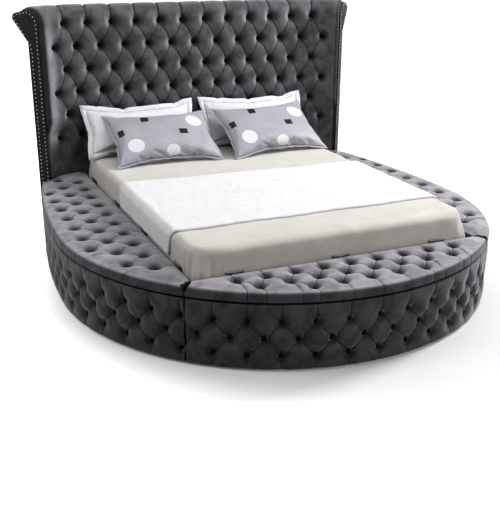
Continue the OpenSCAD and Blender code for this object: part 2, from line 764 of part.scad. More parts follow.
// Tufted front. Each section runs up the diamonds and over the shoulder to the crest, then back
// down inside it to the core. Beyond the last buttons the wings are smooth.
module headboard_tufting() {
    step = hb_pitch / 4;
    end = hb_straight + (wing_turn * PI / 180 * wing_r) - band_t - 2;
    half = floor((end - step / 2) / step);
    last_button = floor(end / hb_pitch - 0.25) * hb_pitch;
    low = 2 * tuft_rows - 1;
    function rise(s, j) =
        hb_deep * tuft(s / hb_pitch, (j - 2) / 4 + (tuft_rows % 2) / 2) * (j < 0 ? 0.4 : 1)
        * min(1, max(0.1, (last_button + step * 2 - abs(s)) / step / 1.5));
    function section(s) = concat(
        [for (j = [-low:1:0]) [-rise(s, j + 2 * tuft_rows) , tuft_top + j * hb_row / 2]],
        [for (q = shoulder(-rise(s, 0) * 0.2, 3)) if (q[1] > tuft_top + 1) q],
        [for (i = [3:-1:0]) shoulder(pad_t, 3)[i]],
        [[pad_t, roll_foot - seat], [core_o - seat, roll_foot - seat], [core_o - seat, tuft_foot]]
    );
    color(velvet) placed() loft([for (i = [-half - 1:half + 1])
        let (s = abs(i) > half ? sign(i) * end : i * step)
        [for (q = section(s)) let (p = hb_at(s, q[0])) [p[0], p[1], q[1]]]], odd = half % 2);
}

// Band on the right wing's front end, over the whole section with its scroll
module wing_band_right() color(velvet) placed() translate([hb_straight, wing_cy, 0])
    rotate([0, 0, 90 - wing_turn]) translate([0, band_t, 0]) rotate([90, 0, 0]) linear_extrude(band_t)
        translate([wing_r, 0]) polygon(concat([[0, cover_lift]], shoulder(0, 8), lip(8), [[hb_t, cover_lift]]));

module wing_band_left() mirror([1, 0, 0]) wing_band_right();

mattress();
throw();
sham_left();
sham_right();
pillow_left();
pillow_right();
slats();
side_ledgers();
centre_beam();
centre_legs();
head_rail();
rail_bolts();
left_inner_wall();
left_end_walls();
left_floor();
left_shell();
left_cover();
right_inner_wall();
right_end_walls();
right_floor();
right_shell();
right_cover();
foot_inner_wall();
foot_corner_posts();
foot_floor();
foot_shell();
foot_cover();
glides();
left_lid_board();
left_lid_cushion();
left_lid_leaves();
left_hinge_leaves();
right_lid_board();
right_lid_cushion();
right_lid_leaves();
right_hinge_leaves();
foot_lid_board();
foot_lid_cushion();
foot_lid_leaves();
foot_hinge_leaves();
headboard_core();
headboard_tufting();
headboard_lower_pad();
headboard_back();
headboard_roll();
wing_band_left();
wing_band_right();
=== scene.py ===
# %% [markdown]
# # A round storage bed in tufted velvet
# The bed is a queen mattress let into a round ring of three storage boxes, under a tall winged
# headboard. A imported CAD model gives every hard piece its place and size. This lesson dresses it:
# each upholstered piece gets its folds, buttons and nails, and each surface a material made of nodes.

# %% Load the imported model
import json
import math

import bmesh
import bpy
import numpy as np
from mathutils import Matrix, Vector


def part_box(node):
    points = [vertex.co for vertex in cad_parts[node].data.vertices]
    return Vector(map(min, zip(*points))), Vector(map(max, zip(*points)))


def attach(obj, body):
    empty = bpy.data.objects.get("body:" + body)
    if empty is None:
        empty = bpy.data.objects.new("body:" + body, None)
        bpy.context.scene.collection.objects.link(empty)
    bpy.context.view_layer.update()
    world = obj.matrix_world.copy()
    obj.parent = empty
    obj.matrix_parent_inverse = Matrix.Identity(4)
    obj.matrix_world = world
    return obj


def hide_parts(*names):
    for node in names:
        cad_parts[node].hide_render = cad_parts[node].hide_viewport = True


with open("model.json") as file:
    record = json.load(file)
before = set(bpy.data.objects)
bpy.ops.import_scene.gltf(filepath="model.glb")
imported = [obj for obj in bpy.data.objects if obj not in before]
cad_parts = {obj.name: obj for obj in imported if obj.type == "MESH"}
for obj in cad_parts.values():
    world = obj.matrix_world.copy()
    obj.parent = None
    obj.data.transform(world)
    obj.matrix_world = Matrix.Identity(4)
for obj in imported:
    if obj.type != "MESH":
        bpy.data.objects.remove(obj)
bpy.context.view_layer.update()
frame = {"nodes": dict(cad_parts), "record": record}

scene = bpy.context.scene

# %% [markdown]
# ## Where things are
# The bed's maker drew it round the middle of its round foot end, so that every curve has its centre
# on an axis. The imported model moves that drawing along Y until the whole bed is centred. All shapes
# below are worked out in the maker's drawing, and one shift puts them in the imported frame.

# %% Sizes from the maker's drawing, in metres
mattress_w = 1.524
mattress_l = 2.032
mattress_h = 0.276
mattress_top = 0.516
foot_end = 0.806
lid_gap = 0.020
pin_gap = 0.013
corner_w = 0.0725
round_r = math.hypot(mattress_w / 2 + lid_gap, foot_end + lid_gap) + corner_w
side_r = 4.8
pin_x = mattress_w / 2 + pin_gap
pin_y = foot_end + pin_gap
pin_z = 0.392
headboard_y = mattress_l - foot_end + 0.002
wing_start = 0.721
wing_r = 0.444
wing_turn = math.radians(45)
wing_middle_y = headboard_y - wing_r
wing_tip_y = wing_middle_y + wing_r * math.cos(wing_turn)
shift_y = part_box("mattress")[0][1] + foot_end
print(f"round end's radius {round_r:.4f} m, drawing shifted by {shift_y:.4f} m")


def outline_at(along, inside):
    """Point and outward direction of the platform's outline, at a distance from the foot's middle."""
    quarter = round_r * math.pi / 2
    k = np.sign(along + 1e-12)
    d = np.abs(along)
    a = np.minimum(d, quarter) / round_r
    b = np.maximum(d - quarter, 0) / side_r
    on_side = d > quarter
    nx = np.where(on_side, np.cos(b), np.sin(a))
    ny = np.where(on_side, np.sin(b), -np.cos(a))
    x = np.where(on_side, round_r - side_r + (side_r - inside) * nx, (round_r - inside) * nx)
    y = np.where(on_side, (side_r - inside) * ny, (round_r - inside) * ny)
    return np.stack([k * x, y], -1), np.stack([k * nx, ny], -1)


def outline_reach(y):
    """Distance along the outline, from the foot's middle to where its side passes y."""
    return round_r * math.pi / 2 + side_r * math.asin(y / side_r)


def headboard_at(along, behind):
    """Point of the headboard, at a distance along it and behind the plane of its buttons."""
    k = np.sign(along + 1e-12)
    a = np.maximum(np.abs(along) - wing_start, 0) / wing_r
    straight = np.abs(along) <= wing_start
    x = np.where(straight, np.abs(along), wing_start + (wing_r + behind) * np.sin(a))
    y = np.where(straight, headboard_y + behind, wing_middle_y + (wing_r + behind) * np.cos(a))
    return k * x, y


# %% [markdown]
# ## A skin on a grid
# Tufted upholstery is one sheet of cloth pulled down at its buttons, so its natural mesh is a grid.
# The helper below starts from `create_grid`, bends the grid round a closed section, merges the seam
# and fills the two ends. Where a fold crosses a square, the square is cut along the fold, because a
# fold that jumps from one diagonal to the other looks like a zip. The mark `low` says how far the
# pile is pressed down and how much shade is painted, and picks one of the skin's three materials:
# loose, half pressed with painted shade, or pressed with near-black painted shade.

# %% Helpers for meshes
half_press_and_shade, full_press_and_shade = 0.33, 0.66


def coordinates(mesh):
    at = np.empty(len(mesh.vertices) * 3)
    mesh.vertices.foreach_get("co", at)
    return at.reshape(-1, 3)


def set_coordinates(mesh, at):
    mesh.vertices.foreach_set("co", at.astype(np.float32).ravel())
    mesh.update()


def put_attribute(mesh, name, values):
    kind, field = ("FLOAT_VECTOR", "vector") if values.ndim == 2 else ("FLOAT", "value")
    mesh.attributes.new(name, kind, "POINT").data.foreach_set(field, values.astype(np.float32).ravel())


def mesh_from(bm, name):
    """The finished bmesh as a new mesh."""
    mesh = bpy.data.meshes.new(name)
    bm.to_mesh(mesh)
    bm.free()
    return mesh


def grid_mesh(name, n_along, n_across):
    """A flat grid as a mesh, with the column and row number of each vertex."""
    bm = bmesh.new()
    bmesh.ops.create_grid(bm, x_segments=n_along - 1, y_segments=n_across - 1, size=1.0)
    mesh = mesh_from(bm, name)
    at = (coordinates(mesh) + 1) / 2
    return mesh, np.rint(at[:, 0] * (n_along - 1)).astype(int), np.rint(at[:, 1] * (n_across - 1)).astype(int)


def cut_along_folds(bm, on_fold):
    """Cut each square whose one diagonal lies on a fold along that diagonal."""
    bm.verts.ensure_lookup_table()
    for face in list(bm.faces):
        if len(face.verts) == 4:
            a, b, c, d = face.verts
            if a[on_fold] > 0.5 and c[on_fold] > 0.5 and b[on_fold] + d[on_fold] < 1.5:
                bmesh.utils.face_split(face, a, c)
            elif b[on_fold] > 0.5 and d[on_fold] > 0.5 and a[on_fold] + c[on_fold] < 1.5:
                bmesh.utils.face_split(face, b, d)


def wrapped_skin(name, along, across, shape):
    """A closed skin. shape(along, across) gives each vertex its place in the drawing and its marks."""
    mesh, i, j = grid_mesh(name, len(along), len(across))
    points, marks = shape(along[i], across[j])
    set_coordinates(mesh, points + np.array([0, shift_y, 0]))
    for mark, values in marks.items():
        put_attribute(mesh, mark, values)
    bm = bmesh.new()
    bm.from_mesh(mesh)
    bmesh.ops.remove_doubles(bm, verts=bm.verts, dist=2e-5)
    bmesh.ops.holes_fill(bm, edges=[e for e in bm.edges if e.is_boundary], sides=0)
    on_fold = bm.verts.layers.float.get("on_fold")
    if on_fold:
        cut_along_folds(bm, on_fold)
    bmesh.ops.recalc_face_normals(bm, faces=bm.faces)
    if bm.calc_volume(signed=True) < 0:
        bmesh.ops.reverse_faces(bm, faces=bm.faces)
    # the mark low stands for pressed pile and painted shade, and picks a darker material
    low = bm.verts.layers.float.get("low")
    for face in bm.faces:
        face.smooth = True
        if low:
            pressed = sum(v[low] for v in face.verts) / len(face.verts)
            face.material_index = int(pressed > half_press_and_shade) + int(pressed > full_press_and_shade)
    open_edges = sum(1 for e in bm.edges if not e.is_manifold)
    bm.to_mesh(mesh)
    bm.free()
    print(f"{name}: {len(mesh.polygons)} faces, {open_edges} open edges")
    return mesh


def piece(name, mesh, body, material, replaces=()):
    """A finished piece at the origin, which moves with a body and stands for its CAD nodes."""
    made = bpy.data.objects.new(name, mesh)
    scene.collection.objects.link(made)
    for one in material if isinstance(material, tuple) else (material,):
        made.data.materials.append(one)
    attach(made, body)
    if replaces:
        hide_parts(*replaces)
    return made


def steps(start, end, pitch, soft=(0.0015, 0.004, 0.008)):
    """Stations from start to end, closer together near both ends."""
    n = max(2, int(round((end - start - 2 * soft[-1]) / pitch)))
    inner = np.linspace(start + soft[-1], end - soft[-1], n + 1)
    return np.concatenate([[start], start + np.array(soft[:-1]), inner, end - np.array(soft[-2::-1]), [end]])


# %% [markdown]
# ## What a button does to cloth
# A button pulls a pit about as wide as a palm. From it the cloth folds straight to the next button,
# because that is the shortest way, and between the folds the filling pushes it up. So the height
# of the cloth needs only two distances: to the nearest folds, which shape the puffs, and to the
# nearest button, which shapes the pit. The mesh keeps them as marks, for the puckers and for the
# shade and light painted in the pits and along the folds.

# %% Relief of buttoned cloth
far_away = 0.5
press_and_shade_fade = 0.014


def ramp(value, start, end):
    t = np.clip((value - start) / (end - start), 0, 1)
    return t * t * (3 - 2 * t)


def rounded_over(to_edge, radius):
    """How far a rounded edge falls back, at a distance from that edge."""
    return radius - np.sqrt(np.maximum(radius ** 2 - np.maximum(radius - to_edge, 0) ** 2, 0))


def nearest_on_fold(points, fold):
    start, end = np.array(fold[0]), np.array(fold[1])
    run = end - start
    t = np.clip(((points - start) @ run) / (run @ run), 0, 1)
    foot = start + t[:, None] * run
    return foot, np.hypot(*(points - foot).T)


def snapped_to_folds(points, folds, reach):
    """Move the points that lie within reach of a fold onto it."""
    best = np.full(len(points), reach)
    moved = points.copy()
    for fold in folds:
        foot, d = nearest_on_fold(points, fold)
        near = d < best
        moved[near] = foot[near]
        best[near] = d[near]
    return moved, (best < reach).astype(float)


def puffed(points, buttons, folds, pit_r, crease_w, room, crown, funnel, low_r):
    """Height of buttoned cloth from 0 at a button to 1 on a puff, and its marks.

    Each fold is (start, end, depth): near it the cloth drops by that share of its height. A pit is
    steep at its button, and a share of its depth, the funnel, reaches about twice as far.
    """
    height = np.ones(len(points))
    fold_at = np.ones(len(points))
    for fold in folds:
        d = nearest_on_fold(points, fold)[1]
        fold_at = np.minimum(fold_at, d)
        for width, depth in ((crease_w, fold[2]), (room, crown)):
            near = d < width
            height[near] *= 1 - depth * (1 - d[near] / width) ** 2
    gap = np.full(len(points), far_away)
    offset = np.zeros((len(points), 3))
    for button in buttons:
        away = points - np.array(button)
        r = np.hypot(*away.T)
        near = r < gap
        gap[near] = r[near]
        offset[near, :2] = away[near]
    height *= 1 - (1 - funnel) * np.exp(-(gap / pit_r) ** 2) - funnel * np.exp(-(gap / (2 * pit_r)) ** 2)
    # pressed pile and painted shade: near a button the cloth gets the darker materials
    low = np.clip((low_r - gap) / press_and_shade_fade + 0.5, 0, 1)
    return height, {"fold": fold_at, "button": offset, "gap": gap, "low": low}


# %% [markdown]
# ## Node groups
# Several cloths share the same effects, so each effect is a group with named inputs: a weave, the
# way a pile brushes light and dark, the puckers round a button with the masks for the shade and
# light painted round it, and the grain of birch. A group only puts out masks and heights. The
# shaders stay in the materials.

# %% Helpers for nodes
def set_inputs(tree, made, inputs):
    for key, value in inputs.items():
        socket = made.inputs[key]
        if isinstance(value, bpy.types.NodeSocket):
            tree.links.new(value, socket)
        else:
            socket.default_value = value


def add(tree, kind, inputs=None, **settings):
    made = tree.nodes.new(kind)
    for key, value in settings.items():
        setattr(made, key, value)
    set_inputs(tree, made, inputs or {})
    return made


def maths(tree, operation, a, b=0.0, c=0.0):
    return add(tree, "ShaderNodeMath", {0: a, 1: b, 2: c}, operation=operation).outputs[0]


def times(tree, a, b):
    return maths(tree, "MULTIPLY", a, b)


def scaled(tree, value, factor, base):
    """The value times a factor, on top of a base."""
    return maths(tree, "MULTIPLY_ADD", value, factor, base)


def fade(tree, value, start, end, low=0.0, high=1.0):
    made = add(tree, "ShaderNodeMapRange", {"Value": value, "From Min": start, "From Max": end,
                                           "To Min": low, "To Max": high}, interpolation_type="SMOOTHSTEP")
    return made.outputs[0]


def noise(tree, place, scale, detail=2.0, distortion=0.0, roughness=0.5):
    made = add(tree, "ShaderNodeTexNoise", {"Vector": place, "Scale": scale, "Detail": detail,
                                           "Distortion": distortion, "Roughness": roughness})
    return made.outputs["Fac"]


def mark_of(tree, name, output="Fac"):
    """A mark that the mesh carries at its vertices."""
    return add(tree, "ShaderNodeAttribute", attribute_name=name, attribute_type="GEOMETRY").outputs[output]


def mixed(tree, factor, first, second):
    """The first colour where the factor is 0, and the second where it is 1."""
    return add(tree, "ShaderNodeMix", {"Factor": factor, 6: first, 7: second}, data_type="RGBA").outputs[2]


def parts_of(tree, vector):
    return add(tree, "ShaderNodeSeparateXYZ", {0: vector}).outputs


def bump_of(tree, height, strength=1.0):
    inputs = {"Height": height, "Distance": 1.0, "Strength": strength}
    return add(tree, "ShaderNodeBump", inputs).outputs[0]


def ramp_of(tree, value, stops):
    made = add(tree, "ShaderNodeValToRGB", {"Fac": value})
    first, last = made.color_ramp.elements
    first.position, first.color = stops[0][0], (*stops[0][1], 1)
    last.position, last.color = stops[-1][0], (*stops[-1][1], 1)
    for position, colour in stops[1:-1]:
        made.color_ramp.elements.new(position).color = (*colour, 1)
    return made.outputs["Color"]


def new_group(name, inputs, outputs):
    group = bpy.data.node_groups.new(name, "ShaderNodeTree")
    for label, value in inputs.items():
        kind = "NodeSocketVector" if isinstance(value, tuple) else "NodeSocketFloat"
        group.interface.new_socket(label, in_out="INPUT", socket_type=kind).default_value = value
    for label in outputs:
        group.interface.new_socket(label, in_out="OUTPUT", socket_type="NodeSocketFloat")
    return group, group.nodes.new("NodeGroupInput").outputs, group.nodes.new("NodeGroupOutput")


def use(tree, group, **inputs):
    made = tree.nodes.new("ShaderNodeGroup")
    made.node_tree = group
    set_inputs(tree, made, {key.replace("_", " "): value for key, value in inputs.items()})
    return made.outputs


# %% Group: brushed pile
nowhere = (0.0, 0.0, 0.0)
fibre_scale = 900.0
pile, given, out = new_group("Brushed pile", {"Place": nowhere, "Patch size": 0.12}, ["Patches", "Fibres"])
patch_scale = maths(pile, "DIVIDE", 1.0, given["Patch size"])
blotches = noise(pile, given["Place"], patch_scale, 3.0, 0.6, 0.55)
set_inputs(pile, out, {"Patches": fade(pile, blotches, 0.35, 0.65),
                       "Fibres": noise(pile, given["Place"], fibre_scale)})

# %% Group: puckers round a button, and masks for its painted shade and light
button_edge, least_away = 0.010, 0.004
pit_core, pit_edge = 0.014, 0.046
side_core, side_edge = 0.016, 0.068
wander_size, wander_turn = 24.0, 9.0
puckers_and_pit_shade, given, out = new_group("Puckers and painted pit shade", {"Place": nowhere, "Rays": 11.0, "Reach": 0.05},
                                ["Height", "Pit", "Side"])
offset = parts_of(puckers_and_pit_shade, mark_of(puckers_and_pit_shade, "button", "Vector"))
angle = maths(puckers_and_pit_shade, "ARCTAN2", offset["Y"], offset["X"])
away = mark_of(puckers_and_pit_shade, "gap")
wander = noise(puckers_and_pit_shade, given["Place"], wander_size, 1.0)
rays = times(puckers_and_pit_shade, angle, given["Rays"])
turned = scaled(puckers_and_pit_shade, wander, wander_turn, rays)
wave = maths(puckers_and_pit_shade, "ABSOLUTE", maths(puckers_and_pit_shade, "SINE", turned))
near = fade(puckers_and_pit_shade, away, button_edge, given["Reach"], 1.0, 0.0)
# painted light and shade: Pit marks each pit to paint dark, and Side one side of it to paint dark and the
# other light
side = maths(puckers_and_pit_shade, "DIVIDE", offset["X"], maths(puckers_and_pit_shade, "MAXIMUM", away, least_away))
beside = fade(puckers_and_pit_shade, away, side_core, side_edge, 1.0, 0.0)
set_inputs(puckers_and_pit_shade, out, {"Height": times(puckers_and_pit_shade, wave, near),
                          "Pit": fade(puckers_and_pit_shade, away, pit_core, pit_edge, 1.0, 0.0),
                          "Side": times(puckers_and_pit_shade, side, beside)})

# %% Group: woven threads
woven, given, out = new_group("Woven threads", {"Place": nowhere, "Thread": 0.0008}, ["Height", "Fleck"])
count = maths(woven, "DIVIDE", math.pi, given["Thread"])
split = parts_of(woven, given["Place"])
warp = maths(woven, "SINE", times(woven, maths(woven, "ADD", split["X"], split["Z"]), count))
weft = maths(woven, "SINE", times(woven, maths(woven, "SUBTRACT", split["Y"], split["Z"]), count))
crossing = times(woven, warp, weft)
set_inputs(woven, out, {"Height": times(woven, crossing, 0.5),
                        "Fleck": noise(woven, given["Place"], 420.0)})

# %% Group: birch grain
along_grain, ply_waves = 0.12, 2200.0
grain, given, out = new_group("Birch grain", {"Place": nowhere, "Ring": 0.03}, ["Grain", "Plies"])
stretch = {"Vector": given["Place"], "Scale": (1.0, along_grain, 1.0)}
long_way = add(grain, "ShaderNodeMapping", stretch).outputs[0]
ring_scale = maths(grain, "DIVIDE", 1.0, given["Ring"])
plies = maths(grain, "SINE", times(grain, parts_of(grain, given["Place"])["Z"], ply_waves))
set_inputs(grain, out, {"Grain": noise(grain, long_way, ring_scale, 6.0, 0.8),
                        "Plies": scaled(grain, plies, 0.5, 0.5)})
print("groups:", [g.name for g in bpy.data.node_groups])


# %% [markdown]
# ## Velvet
# Velvet is dark where one looks straight into its pile and bright where one looks along it, so its
# shader has a dark base under a sheen. Light and shade are also painted into its tone: where the mesh
# is marked it is painted paler, beside each button one side of the pit is painted dark and the other
# painted light, and the pits and fold lines are painted dark as shade. The puckers and fibres go into
# the bump. In the pits and along edges, where the pile is pressed flat and where shade is painted,
# the velvet is a material of its own, with hardly any sheen and a near-black tone.

# %% Material: velvet
fibre_height = 0.0005
pucker_height = 0.004
# painted shade and light: how dark the pits and one side of each pit are painted, the near-black shade tone,
# the pale highlight tone, and the width of the painted fold line
pit_shade = 0.88
side_shade = 0.85
painted_shade_tone = (0.0015, 0.0015, 0.002, 1)
painted_highlight_tone = (0.36, 0.345, 0.37, 1)
fold_core, fold_edge = 0.0004, 0.0045


def new_material(name, **constants):
    made = bpy.data.materials.new(name)
    made.use_nodes = True
    tree = made.node_tree
    shader = tree.nodes["Principled BSDF"]
    set_inputs(tree, shader, {key.replace("_", " "): value for key, value in constants.items()})
    place = add(tree, "ShaderNodeTexCoord").outputs["Object"]
    return made, tree, shader, place


def velvet_material(name, tones, sheen=0.55, folds=True, gloss=0.2, side_shading=0.0, painted_light=None):
    """Velvet of two tones, with shade painted in pits and folds and paler tones painted where marked."""
    made, tree, shader, place = new_material(name, Sheen_Weight=sheen, Sheen_Roughness=0.4,
                                             Sheen_Tint=(0.97, 0.94, 1.0, 1), Specular_IOR_Level=gloss)
    brushed = use(tree, pile, Place=place, Patch_size=0.09)
    colour = ramp_of(tree, brushed["Patches"], [(0.0, tones[0]), (1.0, tones[1])])
    # painted light: where the mesh is marked, paler tones are mixed in
    if painted_light:
        pale = ramp_of(tree, brushed["Patches"], [(0.0, painted_light[0]), (1.0, painted_light[1])])
        colour = mixed(tree, mark_of(tree, "painted_light"), colour, pale)
    bump = times(tree, brushed["Fibres"], fibre_height)
    if folds:
        round_button = use(tree, puckers_and_pit_shade, Place=place)
        # painted shade: each pit is darkened towards the near-black tone
        shade = scaled(tree, round_button["Pit"], -pit_shade, 1.0)
        # painted shade: one side of each pit is darkened
        if side_shading:
            away = maths(tree, "MAXIMUM", round_button["Side"], 0.0)
            painted_side_shade = scaled(tree, away, -side_shade * side_shading, 1.0)
            shade = times(tree, shade, painted_side_shade)
        colour = mixed(tree, shade, painted_shade_tone, colour)
        # painted highlight: the other side of each pit is mixed towards a pale tone
        if side_shading:
            toward = maths(tree, "MAXIMUM", times(tree, round_button["Side"], -1.0), 0.0)
            painted_side_light = times(tree, maths(tree, "POWER", toward, 1.7), side_shading)
            colour = mixed(tree, painted_side_light, colour, painted_highlight_tone)
        # painted shade: a dark line along each fold
        line = fade(tree, mark_of(tree, "fold"), fold_core, fold_edge, 0.1, 1.0)
        colour = mixed(tree, line, painted_shade_tone, colour)
        bump = scaled(tree, round_button["Height"], pucker_height, bump)
    rough = scaled(tree, brushed["Patches"], -0.12, 0.72)
    set_inputs(tree, shader, {"Base Color": colour, "Roughness": rough, "Normal": bump_of(tree, bump, 0.8)})
    return made


# the same velvet in lit and shaded copies: the headboard's tones are painted lighter, the drums' and lids'
# darker
wall_lit_tones = (0.048, 0.0450, 0.0492), (0.090, 0.0843, 0.0923)
drum_shaded_tones = (0.033, 0.0308, 0.0337), (0.062, 0.0578, 0.0637)
half_shaded_tones = (0.010, 0.0092, 0.0102), (0.018, 0.0166, 0.0185)
pressed_and_shaded_tones = (0.003, 0.003, 0.0032), (0.007, 0.0066, 0.0072)
band_shade_tones = (0.003, 0.0028, 0.0031), (0.006, 0.0056, 0.0062)
# painted light: paler tones for the marked end of the left wing and for the lids' tops
wall_painted_light = (0.20, 0.191, 0.207), (0.27, 0.258, 0.279)
lid_painted_light = (0.170, 0.164, 0.178), (0.258, 0.249, 0.270)
velvet = velvet_material("Charcoal velvet", drum_shaded_tones)
wall_velvet = velvet_material("Charcoal velvet, painted side light and shade", wall_lit_tones, sheen=0.42, side_shading=0.9,
                              painted_light=wall_painted_light)
lid_velvet = velvet_material("Charcoal velvet, painted top and side light", drum_shaded_tones, sheen=0.36, side_shading=0.9,
                             painted_light=lid_painted_light)
# pressed pile and painted shade: near-black velvet with little sheen, for the pits, the edges and the hidden
# rows
half_shaded_velvet = velvet_material("Charcoal velvet, half pressed, painted shade", half_shaded_tones, sheen=0.25)
pressed_and_shaded_velvet = velvet_material("Charcoal velvet, pressed, painted shade", pressed_and_shaded_tones, sheen=0.06, gloss=0.04)
plain_velvet = velvet_material("Charcoal velvet, plain", wall_lit_tones, folds=False)
# painted shade: the velvet of the wings' nail bands and the headboard's back is near black
band_shade_velvet = velvet_material("Charcoal velvet, painted shade on bands", band_shade_tones, sheen=0.08, folds=False)
# painted shade: the buttons, sunk in their pits, are near black
button_shade_velvet = velvet_material("Button velvet, painted shade", pressed_and_shaded_tones, sheen=0.10, folds=False, gloss=0.05)

# %% [markdown]
# ## The bedding's cloths
# The fitted sheet is a warm beige plush, the throw a curly white fleece, the shams a plain white
# percale and the pillows a grey sateen. They differ in weave, pile and gloss more than in form.

# %% Materials: sheet, fleece, percale
def woven_tone(tree, place, thread, blotch_scale, colours):
    """A cloth's threads, and its colour: flecks and soft blotches between two tones."""
    threads = use(tree, woven, Place=place, Thread=thread)
    soft = times(tree, noise(tree, place, blotch_scale, 3.0), 0.65)
    tone = scaled(tree, threads["Fleck"], 0.35, soft)
    return threads, ramp_of(tree, tone, [(0.3, colours[0]), (0.7, colours[1])])


def crumpled(tree, place, threads, crease_scale, crumple, weave_height):
    """A normal that shows the creases and the weave."""
    creases = noise(tree, place, crease_scale, 3.0, 1.2)
    weave = times(tree, threads["Height"], weave_height)
    return bump_of(tree, scaled(tree, creases, crumple, weave), 0.8)


def cloth_material(name, colours, thread, weave_height, rough, sheen, crumple=0.0):
    made, tree, shader, place = new_material(name, Sheen_Weight=sheen, Sheen_Roughness=0.5,
                                             Specular_IOR_Level=0.2)
    threads, colour = woven_tone(tree, place, thread, 9.0, colours)
    set_inputs(tree, shader, {"Base Color": colour,
                              "Normal": crumpled(tree, place, threads, 16.0, crumple, weave_height),
                              "Roughness": scaled(tree, threads["Fleck"], 0.1, rough)})
    return made


beige_tones = (0.405, 0.382, 0.346), (0.50, 0.478, 0.442)
white_tones = (0.56, 0.56, 0.585), (0.63, 0.63, 0.655)
fleece_tones = (0.60, 0.596, 0.608), (0.67, 0.666, 0.679)
lining_tones = (0.04, 0.039, 0.043), (0.06, 0.058, 0.063)
grey_tones = (0.33, 0.34, 0.375), (0.39, 0.40, 0.435)
sheet_plush = cloth_material("Beige plush sheet", beige_tones, thread=0.0011, weave_height=0.0003,
                             rough=0.75, sheen=0.5)
percale = cloth_material("White percale", white_tones, thread=0.0006, weave_height=0.0002,
                         rough=0.7, sheen=0.15, crumple=0.004)
fleece = cloth_material("White fleece", fleece_tones, thread=0.004, weave_height=0.0016,
                        rough=0.85, sheen=0.6, crumple=0.006)
lining = cloth_material("Dark lining", lining_tones, thread=0.0009, weave_height=0.0002,
                        rough=0.8, sheen=0.2)
sateen = cloth_material("Grey sateen", grey_tones, thread=0.0005, weave_height=0.0001,
                        rough=0.5, sheen=0.3, crumple=0.004)

# %% [markdown]
# ## A print on cloth
# A print follows the cloth and not the room. Each pillow's mesh keeps its flat cloth's coordinates,
# x along the pillow and y up it, and z tells its front from its back. Each disc and bar is a mask
# made from these. A dashed line near the lower edge stands for a corded hem.

# %% Material: printed sateen
print_edge = 0.001
print_tones = (0.265, 0.267, 0.298), (0.352, 0.353, 0.387)
hem_top, hem_fade, hem_wave = -0.214, 0.006, 330.0
disc_white = (0.58, 0.58, 0.59, 1)
bar_black = (0.003, 0.003, 0.0035, 1)
back_grey = (0.50, 0.505, 0.53, 1)
hem_black = (0.03, 0.03, 0.035, 1)


def printed_material(name, discs, bars):
    """Grey sateen with white discs and dark bars, placed in the cloth's own flat coordinates."""
    made, tree, shader, place = new_material(name, Sheen_Weight=0.1, Sheen_Roughness=0.4,
                                             Specular_IOR_Level=0.25)
    flat = mark_of(tree, "cloth", "Vector")
    split = parts_of(tree, flat)
    front = fade(tree, split["Z"], 0.0, 0.02)
    threads, colour = woven_tone(tree, place, 0.0005, 7.0, print_tones)

    def within(distance, limit):
        return fade(tree, distance, limit - print_edge, limit + print_edge, 1.0, 0.0)

    def from_line(coordinate, value):
        return maths(tree, "ABSOLUTE", maths(tree, "SUBTRACT", coordinate, value))

    for u, v, radius in discs:
        away = add(tree, "ShaderNodeVectorMath", {0: flat, 1: (u, v, 0.1)}, operation="DISTANCE")
        mask = times(tree, within(away.outputs["Value"], radius), front)
        colour = mixed(tree, mask, colour, disc_white)
    for u, v, wide, high in bars:
        inside = times(tree, within(from_line(split["X"], u), wide),
                       within(from_line(split["Y"], v), high))
        colour = mixed(tree, times(tree, inside, front), colour, bar_black)
    colour = mixed(tree, front, back_grey, colour)
    stitches = maths(tree, "SINE", times(tree, split["X"], hem_wave))
    dashes = maths(tree, "GREATER_THAN", stitches, 0.1)
    hem = times(tree, fade(tree, split["Y"], hem_top - hem_fade, hem_top, 1.0, 0.0), dashes)
    set_inputs(tree, shader, {"Base Color": mixed(tree, hem, colour, hem_black),
                              "Normal": crumpled(tree, place, threads, 20.0, 0.003, 0.0001),
                              "Roughness": scaled(tree, threads["Fleck"], 0.1, 0.45)})
    return made


print_discs = [(0.21, 0.075, 0.052), (-0.20, -0.10, 0.050), (0.02, -0.165, 0.042)]
print_bars = [(0.115, -0.02, 0.026, 0.021), (-0.10, 0.105, 0.024, 0.022), (-0.27, 0.02, 0.022, 0.024)]
printed = printed_material("Printed sateen", print_discs, print_bars)

# %% [markdown]
# ## The hard pieces
# The boxes, boards and slats are sealed birch plywood, whose edges show their plies. The hinges and
# bolts are steel with a dark grey tone painted to look like the shade in the gaps they sit in, and
# the glides black plastic. Their CAD meshes are already right, so they only get their materials.

# %% Materials: birch, steel, black plastic
birch, tree, shader, place = new_material("Birch plywood", Specular_IOR_Level=0.4)
veneer = use(tree, grain, Place=place)
wood = ramp_of(tree, veneer["Grain"], [(0.3, (0.62, 0.47, 0.29)), (0.55, (0.56, 0.41, 0.24)),
                                       (0.7, (0.44, 0.30, 0.17))])
colour = mixed(tree, times(tree, veneer["Plies"], 0.18), wood, (0.30, 0.2, 0.11, 1))
set_inputs(tree, shader, {"Base Color": colour,
                          "Normal": bump_of(tree, times(tree, veneer["Grain"], 0.0004)),
                          "Roughness": scaled(tree, veneer["Grain"], 0.2, 0.4)})

steel, tree, shader, place = new_material("Steel, painted dark as shade")
spangle = add(tree, "ShaderNodeTexVoronoi", {"Vector": place, "Scale": 320.0}).outputs["Color"]
worn = noise(tree, place, 60.0, 4.0)
# painted shade: the steel's tone is a dark grey, like the shade in the gaps round the hinges
tone = ramp_of(tree, worn, [(0.3, (0.10, 0.098, 0.102)), (0.7, (0.15, 0.148, 0.152))])
set_inputs(tree, shader, {"Base Color": tone, "Metallic": fade(tree, worn, 0.0, 0.2, 0.9, 1.0),
                          "Roughness": scaled(tree, spangle, 0.12, 0.44)})

